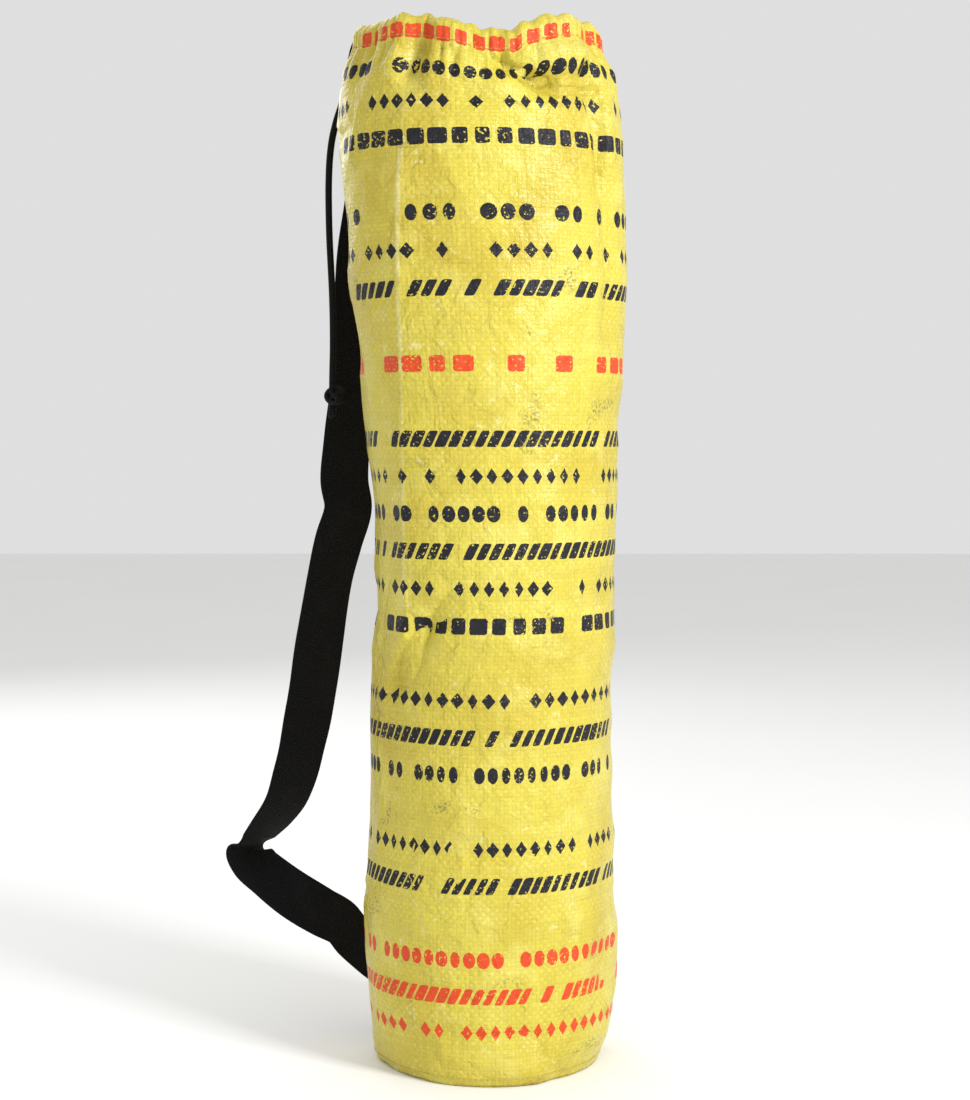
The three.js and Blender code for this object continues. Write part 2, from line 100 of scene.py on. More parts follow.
# How the outline changes with height: half the spans along X and Y, and the middle's drift along X, as
# shares of BODY_RADIUS.
SECTION_COLUMNS = ("at", "width", "depth", "drift")
SECTION_ROWS = [
    (0.0, 0.912, 0.92, 0.0),
    (0.01, 0.94, 0.945, 0.0),
    (0.049, 0.972, 0.965, 0.0),
    (0.089, 0.993, 0.98, -0.004),
    (0.147, 1.0, 0.985, -0.01),
    (0.205, 0.981, 0.985, -0.002),
    (0.282, 0.965, 0.985, 0.0),
    (0.362, 0.963, 0.985, 0.003),
    (0.42, 0.956, 0.985, 0.028),
    (0.478, 0.95, 0.985, 0.036),
    (0.537, 0.969, 0.985, 0.03),
    (0.595, 1.0, 0.985, 0.005),
    (0.673, 1.05, 0.97, -0.003),
    (0.713, 1.08, 0.96, -0.018),
    (0.771, 1.112, 0.95, -0.04),
    (0.849, 1.119, 0.95, -0.065),
    (0.908, 1.119, 0.95, -0.09),
    (0.947, 1.094, 0.94, -0.104),
    (0.966, 1.044, 0.92, -0.106),
    (0.986, 0.975, 0.88, -0.108),
    (1.0, 0.93, 0.86, -0.108),
]
SECTIONS = dict(zip(SECTION_COLUMNS, np.array(SECTION_ROWS).T))

# Dents and bulges, each along a straight run on the cloth. Height and spread are shares of BODY_RADIUS.
FOLD_COLUMNS = ("turn", "at", "end_turn", "end_at", "height", "spread")
FOLD_ROWS = [
    (-26, 0.965, -29, 0.945, -0.06, 0.09),
    (11, 0.962, 28, 0.937, -0.09, 0.11),
    (30, 0.935, 52, 0.937, -0.07, 0.1),
    (24, 0.975, 48, 0.962, 0.05, 0.15),
    (51, 0.95, 58, 0.84, -0.055, 0.09),
    (58, 0.83, 59, 0.7, -0.035, 0.13),
    (-30, 0.44, -52, 0.371, -0.06, 0.11),
    (-44, 0.42, -60, 0.36, 0.03, 0.12),
    (-80, 0.452, -100, 0.44, -0.035, 0.12),
    (150, 0.93, 165, 0.7, -0.045, 0.16),
    (110, 0.6, 135, 0.42, -0.04, 0.18),
    (-170, 0.5, 172, 0.3, -0.035, 0.18),
    (-88, 0.84, -84, 0.69, -0.038, 0.3),
    (-84, 0.6, -82, 0.52, -0.022, 0.25),
    (96, 0.004, 34, 0.004, -0.055, 0.13),
    (-68, 0.004, -38, 0.004, -0.03, 0.12),
    (6, 0.052, 24, 0.03, -0.03, 0.11),
]
FOLDS = table(FOLD_COLUMNS, FOLD_ROWS)

# The sack's old pressed edge, a sharp ridge down the front left.
EDGE_TOP_TURN = -30
EDGE_FOOT_TURN = -45
EDGE_TOP = 0.92
EDGE_FOOT = 0.42
EDGE_FOOT_FADE = (0.36, 0.5)
EDGE_TOP_FADE = (0.84, 0.94)
EDGE_HEIGHT = 0.075
EDGE_SPREAD = 0.36

# The gathers under the casing.
GATHER_COUNT = 12
GATHER_WANDER = 50
GATHER_START = 34
GATHER_RIPPLE = 0.4
GATHER_HEIGHT = -0.052
GATHER_FOOT = 0.905
GATHER_TOP = 0.98

# The rim's dip at the front.
DIP_TURN = 4
DIP_SPREAD = 26
DIP_HEIGHT = -0.18
DIP_FOOT = 0.88

# Smaller rises and dips of the rim: its turn, its spread in degrees and its height as a share of
# BODY_RADIUS.
RIM_COLUMNS = ("turn", "spread", "height")
RIM_ROWS = [
    (-74, 13, -0.04),
    (-56, 15, -0.055),
    (-25, 5, 0.015),
    (-8, 10, 0.042),
    (16, 3.5, -0.05),
    (60, 9, -0.032),
    (79, 10, -0.07),
    (112, 13, -0.03),
    (146, 9, 0.02),
    (-175, 12, -0.025),
]
RIM_BUMPS = table(RIM_COLUMNS, RIM_ROWS)
RIM_FOOT = 0.94

# The strap's free length: its middle line, and the swing and rise of the direction across it.
STRAP_COLUMNS = ("up", "turn", "away", "swing", "rise")
STRAP_ROWS = [
    (0.944, -131, 0.095, 45, 0),
    (0.847, -128, 0.16, 36, 0),
    (0.705, -123.5, 0.245, 30, 0),
    (0.594, -120, 0.34, 26, -3),
    (0.559, -120, 0.335, 25, -5),
    (0.52, -118, 0.4, 28, -22),
    (0.477, -116.7, 0.455, 33, -14),
    (0.403, -115.6, 0.5, 27, -10),
    (0.344, -114.9, 0.525, 26, -12),
    (0.29, -113.5, 0.57, 30, -14),
    (0.249, -112.6, 0.615, 36, -18),
    (0.211, -112.7, 0.69, 43, -19),
    (0.184, -113.1, 0.8, 48, -12),
    (0.164, -113.5, 0.9, 49, 0),
    (0.149, -113.3, 0.975, 48, 16),
    (0.133, -112.2, 0.9, 48, 27),
    (0.118, -111.2, 0.755, 49, 32),
    (0.099, -111.2, 0.58, 48, 40),
    (0.08, -114, 0.42, 56, 48),
    (0.065, -118.5, 0.32, 62, 46),
    (0.048, -120.5, 0.26, 60, 36),
    (0.028, -123, 0.17, 57, 22),
    (0.01, -126, 0.075, 54, 8),
]
STRAP_ROUTE = dict(zip(STRAP_COLUMNS, np.array(STRAP_ROWS, float).T))

# Where each free end of the drawcord runs: shares of CORD_REACH, CORD_DROP and CORD_SPACING.
TAIL_COLUMNS = ("out", "down", "apart")
TAIL_ROWS = [
    (0.0, 0.0, 1),
    (0.09, 0.0, 1),
    (0.18, 0.016, 1),
    (0.25, 0.042, 1),
    (0.31, 0.075, 1),
    (0.39, 0.115, 1),
    (0.52, 0.16, 1),
    (0.71, 0.21, 1),
    (0.87, 0.265, 1),
    (0.96, 0.325, 1),
    (1.0, 0.4, 1),
    (1.0, 0.48, 1),
    (0.98, 0.56, 1),
    (0.94, 0.64, 1),
    (0.9, 0.72, 1),
    (0.88, 0.8, 1),
    (0.88, 0.88, 0.98),
    (0.9, 0.95, 0.95),
    (0.91, 1.0, 0.93),
]
TAIL_ROUTE = dict(zip(TAIL_COLUMNS, np.array(TAIL_ROWS, float).T))

UP = np.array([0.0, 0.0, 1.0])

# Camera
# It stands in front of the bag, a little above its middle, and looks slightly down.
PHOTO_HEIGHT_PX = 1100
FOCAL_PX = 2120
CAMERA_SENSOR = 36
CAMERA_DISTANCE = 1.35
CAMERA_HEIGHT = 0.395
CAMERA_SIDE = -0.0038
CAMERA_PITCH = 2.98

camera_data = bpy.data.cameras.new("camera")
camera_data.sensor_width = CAMERA_SENSOR
camera_data.lens = CAMERA_SENSOR * FOCAL_PX / PHOTO_HEIGHT_PX
camera = bpy.data.objects.new("camera", camera_data)
camera.location = (CAMERA_SIDE, -CAMERA_DISTANCE, CAMERA_HEIGHT)
camera.rotation_euler = (math.radians(90 - CAMERA_PITCH), 0, 0)
bpy.context.scene.collection.objects.link(camera)
bpy.context.scene.camera = camera


# Places on the cloth
def smooth(low, high, x):
    """A smooth step from 0 at low to 1 at high."""
    t = np.clip((x - low) / (high - low), 0, 1)
    return t * t * (3 - 2 * t)


def wrap(turn):
    """A turn brought between -180 and 180."""
    return (turn + 180) % 360 - 180


def arc_of(turn):
    """The arc that a turn has round the body."""
    return np.radians(turn) * BODY_RADIUS


def turn_of(arc):
    """The turn that an arc round the body has."""
    return np.degrees(arc / BODY_RADIUS)


def outwards(turn):
    """The level direction out of the bag at a turn."""
    angle = np.radians(turn)
    return np.stack([np.sin(angle), -np.cos(angle), np.zeros_like(angle)], -1)


def sideways(turn):
    """The level direction round the bag at a turn, towards larger turns."""
    angle = np.radians(turn)
    return np.stack([np.cos(angle), np.sin(angle), np.zeros_like(angle)], -1)


def between(name, at):
    """A column of SECTIONS at any height: a cubic through its rows, with the slopes of their neighbours."""
    heights = SECTIONS["at"]
    values = SECTIONS[name]
    low = np.maximum(np.arange(len(heights)) - 1, 0)
    high = np.minimum(np.arange(len(heights)) + 1, len(heights) - 1)
    slope = (values[high] - values[low]) / (heights[high] - heights[low])
    i = np.clip(np.searchsorted(heights, at, side="left") - 1, 0, len(heights) - 2)
    span = heights[i + 1] - heights[i]
    t = np.clip((at - heights[i]) / span, 0, 1)
    return (
        (2 * t**3 - 3 * t**2 + 1) * values[i]
        + (t**3 - 2 * t**2 + t) * span * slope[i]
        + (3 * t**2 - 2 * t**3) * values[i + 1]
        + (t**3 - t**2) * span * slope[i + 1]
    )


def distance_to_run(turn, at, run):
    """How far places on the cloth lie from a straight run on it."""
    run_arc = arc_of(wrap(run["end_turn"] - run["turn"]))
    run_up = (run["end_at"] - run["at"]) * BAG_HEIGHT
    arc = arc_of(wrap(turn - run["turn"]))
    up = (at - run["at"]) * BAG_HEIGHT
    t = np.clip((arc * run_arc + up * run_up) / (run_arc**2 + run_up**2), 0, 1)
    return np.hypot(arc - t * run_arc, up - t * run_up)


def edge_turn(at):
    """The turn that the pressed edge has at a height."""
    share = np.clip((at - EDGE_FOOT) / (EDGE_TOP - EDGE_FOOT), 0, 1)
    return EDGE_FOOT_TURN + share * (EDGE_TOP_TURN - EDGE_FOOT_TURN)


def gather_wave(turn):
    """A narrow valley for each gather, 1 at its middle, with uneven places round the bag."""
    angle = np.radians(turn)
    uneven = np.sin(2 * angle + math.radians(GATHER_START)) + GATHER_RIPPLE * np.sin(5 * angle)
    wander = math.radians(GATHER_WANDER) * uneven
    return (0.5 + 0.5 * np.cos(GATHER_COUNT * angle + wander)) ** 2


def beside_strap(turn):
    """0 under the strap's sewn ends, which hold the cloth flat, and 1 away from them."""
    away = np.abs(arc_of(wrap(turn - STRAP_TURN)))
    return smooth(STRAP_WIDTH * STRAP_HOLD[0], STRAP_WIDTH * STRAP_HOLD[1], away)


def fold_height(turn, at):
    """How far the main folds, the pressed edge and the gathers raise the cloth above its section."""
    height = GATHER_HEIGHT * gather_wave(turn) * smooth(GATHER_FOOT, GATHER_TOP, at)
    for fold in FOLDS:
        share = distance_to_run(turn, at, fold) / (fold["spread"] * BODY_RADIUS)
        height = height + fold["height"] * np.exp(-(share**2))
    from_edge = np.abs(arc_of(wrap(turn - edge_turn(at)))) / (EDGE_SPREAD * BODY_RADIUS)
    shown = smooth(*EDGE_FOOT_FADE, at) * (1 - smooth(*EDGE_TOP_FADE, at))
    height = height + EDGE_HEIGHT * np.exp(-from_edge) * shown
    return height * BODY_RADIUS * beside_strap(turn)


def rim_drop(turn, at):
    """How far the rim's dip at the front, and its smaller rises and dips, shift the cloth upwards."""
    share = np.exp(-((wrap(turn - DIP_TURN) / DIP_SPREAD) ** 2))
    shift = DIP_HEIGHT * share * smooth(DIP_FOOT, 1, at)
    for bump in RIM_BUMPS:
        share = np.exp(-((wrap(turn - bump["turn"]) / bump["spread"]) ** 2))
        shift = shift + bump["height"] * share * smooth(RIM_FOOT, 1, at)
    return shift * BODY_RADIUS


def section_point(turn, at, offset=0.0):
    """A point outside the plain section, an ellipse round a drifting middle, by offset."""
    turn, at, offset = np.broadcast_arrays(np.asarray(turn, float), np.asarray(at, float), offset)
    out = outwards(turn)
    width = between("width", at) * BODY_RADIUS + offset
    depth = between("depth", at) * BODY_RADIUS + offset
    drift = between("drift", at) * BODY_RADIUS
    up = at * BAG_HEIGHT + rim_drop(turn, at)
    return np.stack([drift + width * out[..., 0], depth * out[..., 1], up], -1)


# Small creases that only the cloth's surface has
CRUMPLE_SPACING = 0.024
CRUMPLE_HEIGHT = 0.0030
CRUMPLE_STRETCH = 1.5
CRUMPLE_CRISPNESS = 12
CRUMPLE_LEVEL = 0.25
CRUMPLE_PATCHES = 0.4
CREASE_COUNT = 150
CREASE_HEIGHT = 0.0013
CREASE_RISE = (0.4, 1)
CREASE_SPREAD = (0.0021, 0.0048)
CREASE_ZONES = ((0.02, 0.9), (0.02, 0.22), (0.78, 0.95))
CREASE_LEAN = 35
CREASE_UPRIGHT_SHARE = 0.35
CREASE_LENGTH = (0.012, 0.045)
SHARP_SHARE = 0.3
QUIET_FOOT = (0.012, 0.036)
QUIET_TOP = (0.95, 1)
QUIET_TOP_SHARE = 0.6

# Sharp creases that show by themselves, in degrees, shares of the height, and metres.
LINE_COLUMNS = ("turn", "at", "end_turn", "end_at", "height", "spread")
LINE_ROWS = [
    (-24, 0.985, -28.5, 0.948, -0.0032, 0.0020),
    (-22, 0.985, -15, 0.968, -0.0016, 0.0014),
    (5, 0.98, 7, 0.966, -0.0034, 0.0014),
    (9.5, 0.98, 12.5, 0.960, -0.0036, 0.0016),
    (16, 0.985, 17, 0.972, -0.0018, 0.0013),
    (-50, 0.985, -45, 0.955, -0.0018, 0.0024),
    (-68, 0.98, -60, 0.94, -0.0020, 0.0026),
    (30, 0.976, 44, 0.938, -0.0012, 0.0018),
    (52, 0.975, 57, 0.95, -0.0018, 0.0018),
    (78, 0.97, 70, 0.93, -0.0022, 0.0024),
    (-46, 0.92, -52, 0.885, 0.0012, 0.0018),
    (-55, 0.915, -60, 0.87, 0.0012, 0.0018),
    (-42, 0.465, -42.5, 0.40, 0.0012, 0.0016),
    (118, 0.985, 108, 0.93, -0.0030, 0.0024),
    (150, 0.985, 158, 0.92, -0.0032, 0.0026),
    (-165, 0.985, -158, 0.935, -0.0026, 0.0022),
    (-22, 0.058, -9, 0.024, -0.0013, 0.0024),
    (-16, 0.024, 12, 0.018, 0.0010, 0.0022),
    (0, 0.05, 10, 0.036, 0.0011, 0.0022),
    (-2, 0.094, 22, 0.100, 0.0010, 0.0018),
]
LINES = table(LINE_COLUMNS, LINE_ROWS)

# Folds that hang over their lower or right side: the cloth steps down across the run.
LEDGE_COLUMNS = ("turn", "at", "end_turn", "end_at", "height", "reach")
LEDGE_ROWS = [
    (11, 0.966, 25, 0.946, 0.0026, 0.013),
    (25, 0.946, 35, 0.929, 0.0034, 0.014),
    (35, 0.929, 57, 0.932, 0.0036, 0.014),
    (60, 0.958, 58.5, 0.84, 0.0017, 0.012),
    (-52, 0.384, -25, 0.458, 0.0026, 0.012),
    (170, 0.93, 140, 0.9, 0.0028, 0.014),
    (-150, 0.36, -178, 0.33, -0.0022, 0.014),
    (125, 0.62, 98, 0.575, 0.0020, 0.014),
]
LEDGES = table(LEDGE_COLUMNS, LEDGE_ROWS)
LEDGE_STEP = 0.0016
LEDGE_END = 0.4

# Narrow gathers that start at the casing's stitches.
PUCKER_COUNT = 62
PUCKER_SCATTER = 0.4
PUCKER_LEAN = 0.25
PUCKER_DEPTH = (0.0007, 0.0022)
PUCKER_SPREAD = (0.0011, 0.0024)
PUCKER_LENGTH = (0.010, 0.050)
PUCKER_SWELL = 1.1
PUCKER_SWELL_DROP = 0.006


def crumple(turn, at):
    """Shallow bowls with soft ridges between them: a smooth least of the squared distances to seeds."""
    rng = np.random.default_rng(11)
    circumference = 2 * math.pi * BODY_RADIUS
    count = int(circumference * BAG_HEIGHT / (CRUMPLE_SPACING**2 * CRUMPLE_STRETCH))
    seeds = rng.random((count, 2)) * (circumference, BAG_HEIGHT)
    arc = arc_of(turn)
    up = at * BAG_HEIGHT
    total = np.full(np.shape(arc), 1e-9)
    for seed_arc, seed_up in seeds:
        across = (arc - seed_arc + circumference / 2) % circumference - circumference / 2
        squared = ((across / CRUMPLE_STRETCH) ** 2 + (up - seed_up) ** 2) / CRUMPLE_SPACING**2
        total += np.exp(-CRUMPLE_CRISPNESS * squared)
    bowls = np.clip(-np.log(total) / CRUMPLE_CRISPNESS, 0, 1)
    angle = np.radians(turn)
    patches = np.sin(3 * angle + 9 * at) * np.sin(2 * angle + 14 * at)
    return CRUMPLE_HEIGHT * (bowls - CRUMPLE_LEVEL) * (1 - CRUMPLE_PATCHES * (1 - patches))


def creases(turn, at):
    """Short sharp creases at seeded places, each a ridge or a valley that falls off along the cloth."""
    rng = np.random.default_rng(23)
    height = np.zeros(np.shape(turn))
    for _ in range(CREASE_COUNT):
        start_turn = rng.uniform(-180, 180)
        start_at = rng.choice([rng.uniform(*zone) for zone in CREASE_ZONES])
        lean = rng.uniform(-CREASE_LEAN, CREASE_LEAN)
        lean += rng.choice([0, 90], p=[1 - CREASE_UPRIGHT_SHARE, CREASE_UPRIGHT_SHARE])
        length = rng.uniform(*CREASE_LENGTH)
        run = {
            "turn": start_turn,
            "at": start_at,
            "end_turn": start_turn + turn_of(length * math.cos(math.radians(lean))),
            "end_at": start_at + length * math.sin(math.radians(lean)) / BAG_HEIGHT,
        }
        rise = rng.uniform(*CREASE_RISE) * rng.choice([-1, 1])
        height += rise * np.exp(-distance_to_run(turn, at, run) / rng.uniform(*CREASE_SPREAD))
    return CREASE_HEIGHT * height


def puckers(turn, at):
    """Narrow valleys at seeded turns. Each has its full depth in the casing and fades down the cloth."""
    rng = np.random.default_rng(31)
    height = np.zeros(np.shape(turn))
    below = np.maximum(1 - CASING_HEIGHT / BAG_HEIGHT - at, 0) * BAG_HEIGHT
    for number in range(PUCKER_COUNT):
        place = (number + rng.uniform(-PUCKER_SCATTER, PUCKER_SCATTER)) * 360 / PUCKER_COUNT
        depth = rng.uniform(*PUCKER_DEPTH)
        spread = rng.uniform(*PUCKER_SPREAD)
        length = rng.uniform(*PUCKER_LENGTH)
        lean = rng.uniform(-PUCKER_LEAN, PUCKER_LEAN)
        away = np.abs(arc_of(wrap(turn - place)) - lean * below) / (spread * (1 + below / length))
        height -= depth * np.exp(-away) * (1 - smooth(0, length, below))
    return height * (1 + PUCKER_SWELL * smooth(0, PUCKER_SWELL_DROP, below))


def ledge_height(turn, at, run):
    """A step across a run: up on its left side, looking along it, and down on its right, with the fall
    of each side by reach and a fade past its ends."""
    run_arc = arc_of(wrap(run["end_turn"] - run["turn"]))
    run_up = (run["end_at"] - run["at"]) * BAG_HEIGHT
    length = math.hypot(run_arc, run_up)
    arc = arc_of(wrap(turn - run["turn"]))
    up = (at - run["at"]) * BAG_HEIGHT
    along = (arc * run_arc + up * run_up) / length
    side = (up * run_arc - arc * run_up) / length
    past = np.maximum(np.maximum(-along, along - length), 0)
    fade = np.exp(-np.abs(side) / run["reach"] - (past / (LEDGE_END * run["reach"])) ** 2)
    return run["height"] * np.tanh(side / LEDGE_STEP) * fade


def fine_height(turn, at):
    """How far the small creases raise the cloth above its main folds."""
    height = crumple(turn, at) + creases(turn, at)
    for fold in FOLDS:
        share = distance_to_run(turn, at, fold) / (fold["spread"] * BODY_RADIUS * SHARP_SHARE)
        height = height + SHARP_SHARE * fold["height"] * BODY_RADIUS * np.exp(-share)
    height = height * smooth(*QUIET_FOOT, at) * (1 - QUIET_TOP_SHARE * smooth(*QUIET_TOP, at))
    for line in LINES:
        height = height + line["height"] * np.exp(-distance_to_run(turn, at, line) / line["spread"])
    for ledge in LEDGES:
        height = height + ledge_height(turn, at, ledge)
    return (height + puckers(turn, at)) * beside_strap(turn)


def cloth_point(turn, at, offset=0.0, fine=False):
    """A point outside the folded cloth by offset. With fine, the small creases count too."""
    height = fold_height(turn, at)
    if fine:
        height = height + fine_height(turn, at)
    return section_point(turn, at, height + offset)


# Casing
STITCH_AT = 1 - CASING_HEIGHT / BAG_HEIGHT
CHANNEL_HALF = CORD_DIAMETER / 2 + CHANNEL_CLEARANCE
CASING_HALF = CHANNEL_HALF + CLOTH_THICKNESS
CHANNEL_TOP = CASING_HEIGHT - CLOTH_THICKNESS
CHANNEL_ARCH = 1.6
CORD_UP = CHANNEL_TOP - CHANNEL_HALF * CHANNEL_ARCH
STITCH_OUT = HEM_SLIT / 2 + CLOTH_THICKNESS
ARCH_STEPS = 9
FLANK_STEPS = 7

# The rim's scallops: two waves round it, each with a slower wave that sets it out of step.
RIM_WAVE = 0.0014
SCALLOP_COLUMNS = ("count", "drift", "drift_count", "share")
SCALLOP_ROWS = [
    (26, 3, 3, 1.0),
    (41, 2, 5, 0.7),
]
SCALLOPS = table(SCALLOP_COLUMNS, SCALLOP_ROWS)


def arch(half, top):
    """Half an ellipse over the cord, as (out, up) rows from its outer side to its inner one."""
    angle = np.linspace(0, math.pi, ARCH_STEPS + 1)
    return np.stack([half * np.cos(angle), CORD_UP + (top - CORD_UP) * np.sin(angle)], -1)


def scallop_drop(turn):
    """How far the scallops lower the rim at a turn."""
    angle = np.radians(turn)
    wave = 0
    for row in SCALLOPS:
        phase = row["drift"] * np.sin(row["drift_count"] * angle)
        wave = wave + row["share"] * np.sin(row["count"] * angle + phase)
    return RIM_WAVE * (0.5 + 0.5 * wave) * beside_strap(turn)


def casing_point(turn, out, up, fine=False):
    """A point of the casing's cross-section, which leans inwards as it goes up. With fine, the rim has
    its scallops too."""
    share = np.maximum(up, 0) / CASING_HEIGHT
    point = cloth_point(turn, STITCH_AT, out - CASING_LEAN * share - STITCH_OUT, fine)
    lift = up - scallop_drop(turn) * share if fine else up
    return point + np.broadcast_to(lift, np.shape(turn))[..., None] * UP


# Meshes
def new_piece(name, points, faces):
    """An object at the origin with a smooth-shaded mesh of these points and faces."""
    mesh = bpy.data.meshes.new(name)
    mesh.from_pydata(points.tolist(), [], faces)
    mesh.shade_smooth()
    piece = bpy.data.objects.new(name, mesh)
    bpy.context.scene.collection.objects.link(piece)
    return piece


def grid_piece(name, grid, uv, join_ends=False):
    """A closed mesh from a grid of points whose columns go round. uv is one column and one row larger,
    in metres. The last row joins the first, or a fan of triangles closes each end."""
    rows, columns = grid.shape[:2]
    bands = rows if join_ends else rows - 1
    i, j = np.meshgrid(np.arange(bands), np.arange(columns), indexing="ij")
    corners = [(i, j), (i, j + 1), (i + 1, j + 1), (i + 1, j)]
    quads = np.stack([(a % rows) * columns + b % columns for a, b in corners], -1).reshape(-1, 4)
    quad_uv = np.stack([uv[a, b] for a, b in corners], 2).reshape(-1, 2)
    points = grid.reshape(-1, 3)
    faces = quads.tolist()
    loops_uv = [quad_uv]
    if not join_ends:
        hubs = np.stack([grid[0].mean(0), grid[-1].mean(0)])
        points = np.concatenate([points, hubs])
        ring = np.arange(columns)
        after = (ring + 1) % columns
        last = (rows - 1) * columns
        hub = np.full(columns, rows * columns)
        faces += np.stack([hub, after, ring], -1).tolist()
        faces += np.stack([hub + 1, last + ring, last + after], -1).tolist()
        for row, order in ((0, (1, 0)), (rows - 1, (0, 1))):
            middle = np.broadcast_to(uv[row].mean(0), (columns, 2))
            edges = [uv[row, ring + step] for step in order]
            loops_uv.append(np.stack([middle, *edges], 1).reshape(-1, 2))
    piece = new_piece(name, points, faces)
    layer = piece.data.uv_layers.new(name="surface")
    layer.data.foreach_set("uv", np.concatenate(loops_uv).astype(np.float32).ravel())
    return piece


def along_path(path):
    """The length along a path at each of its points."""
    steps = np.linalg.norm(np.diff(path, axis=0), axis=1)
    return np.concatenate([[0], np.cumsum(steps)])


def read_along(wanted, length, values):
    """The values that a path's points have, read at wanted lengths along it."""
    return np.stack([np.interp(wanted, length, values[:, k]) for k in range(3)], -1)


def resample(path, count):
    """The same path with this many points, an equal length apart."""
    length = along_path(path)
    return read_along(np.linspace(0, length[-1], count), length, path)


def catmull_rom(points, t):
    """A curve through points, as a centripetal Catmull-Rom spline, at shares t of its whole."""
    points = np.asarray(points, float)
    first = 2 * points[0] - points[1]
    last = 2 * points[-1] - points[-2]
    padded = np.concatenate([[first], points, [last]])
    place = np.clip(np.asarray(t, float), 0, 1) * (len(points) - 1)
    i = np.minimum(place.astype(int), len(points) - 2)
    weight = (place - i)[:, None]
    p0, p1, p2, p3 = (padded[i + k] for k in range(4))
    gaps = np.linalg.norm(np.diff(padded, axis=0), axis=1) ** 0.5
    d0, d1, d2 = (gaps[i + k][:, None] for k in range(3))
    d1 = np.where(d1 < 1e-6, 1.0, d1)
    d0 = np.where(d0 < 1e-6, d1, d0)
    d2 = np.where(d2 < 1e-6, d1, d2)
    m1 = ((p1 - p0) / d0 - (p2 - p0) / (d0 + d1) + (p2 - p1) / d1) * d1
    m2 = ((p2 - p1) / d1 - (p3 - p1) / (d1 + d2) + (p3 - p2) / d2) * d1
    return (
        p1
        + m1 * weight
        + (3 * (p2 - p1) - 2 * m1 - m2) * weight**2
        + (2 * (p1 - p2) + m1 + m2) * weight**3
    )


def smooth_path(points, steps, count):
    """A smooth curve through points, worked out at steps places, as count points an equal length apart."""
    return resample(catmull_rom(points, np.linspace(0, 1, steps)), count)


def unit(vectors):
    """The vectors, each with a length of 1."""
    return vectors / np.linalg.norm(vectors, axis=-1, keepdims=True)


def square_to(vectors, along):
    """The vectors less what they have along some unit vectors, each with a length of 1."""
    return unit(vectors - along * (vectors * along).sum(-1, keepdims=True))


def path_frames(path):
    """Two directions across a path, square to it and to each other and carried along it without twist."""
    along = unit(np.gradient(path, axis=0))
    first = np.cross(along[0], UP)
    if np.linalg.norm(first) < NEARLY_UPRIGHT:
        first = np.cross(along[0], (1.0, 0.0, 0.0))
    side = np.empty_like(path)
    side[0] = unit(first)
    for k in range(1, len(path)):
        side[k] = square_to(side[k - 1], along[k])
    return side, np.cross(along, side)


def surface_uv(across, along):
    """The places on a surface from lengths across and along it, in metres."""
    return np.stack(np.broadcast_arrays(across, along), -1)


# Braid of the cord
BRAID_STRANDS = 4
BRAID_PITCH = 0.0085
BRAID_RELIEF = 0.09
TAPER_TIP = 0.3
NEARLY_UPRIGHT = 0.1


def cord_grid(path, radius, sides, taper=0):
    """A tube along a path. Its radius swells at the crossings of two sets of helices, as a braid's does,
    and rounds off over the last taper rings."""
    side, other = path_frames(path)
    angle = np.arange(sides) * 2 * math.pi / sides
    length = along_path(path)[:, None]
    turns = 4 * math.pi * length / BRAID_PITCH
    diamonds = np.cos(BRAID_STRANDS * angle + turns) * np.cos(BRAID_STRANDS * angle - turns)
    swell = radius * (1 - BRAID_RELIEF * (0.5 - 0.5 * diamonds))
    if taper:
        left = np.arange(len(path))[::-1, None]
        swell = swell * np.sqrt(np.clip((left + TAPER_TIP) / taper, 0, 1))
    ring = np.cos(angle)[None, :, None] * side[:, None] + np.sin(angle)[None, :, None] * other[:, None]
    grid = path[:, None] + ring * swell[..., None]
    return grid, surface_uv(np.linspace(0, 2 * math.pi * radius, sides + 1), length)


# Free ends of the drawcord
exit_out = outwards(CORD_EXIT_TURN)
exit_side = sideways(CORD_EXIT_TURN)
exit_seat = casing_point(np.array([float(CORD_EXIT_TURN)]), 0.0, CORD_UP)[0]
TAIL_START = CASING_HALF + CORD_DIAMETER / 2
TAIL_STEPS = 2000
TAIL_RINGS = 420
CORD_SIDES = 24


def exit_point(side, out):
    """A point on the straight way out of the exit hole, on one side of its middle."""
    return exit_seat + exit_side * side * CORD_SPACING / 2 + exit_out * out


def tail_path(side):
    """The middle line of one free end, from the exit hole down into the knot."""
    apart = TAIL_ROUTE["apart"][:, None]
    out = (TAIL_START + PIECE_GAP + TAIL_ROUTE["out"] * CORD_REACH)[:, None]
    points = exit_seat + exit_side * side * apart * CORD_SPACING / 2 + exit_out * out
    points[:, 2] -= TAIL_ROUTE["down"] * CORD_DROP
    return smooth_path(points, TAIL_STEPS, TAIL_RINGS)


# Knot
KNOT_RISE = 0.0026
KNOT_DEPTH = 0.0022
KNOT_BREADTH = 0.0013
KNOT_BEND = 1.95
KNOT_FADE = 0.35
KNOT_LEVEL = 1.6
KNOT_BACK_END_SHARE = 0.82
KNOT_SPLAY = 0.0011
KNOT_CURVE_POINTS = 160
KNOT_GUIDE_POINTS = 90
KNOT_STEPS = 900
KNOT_RINGS = 170


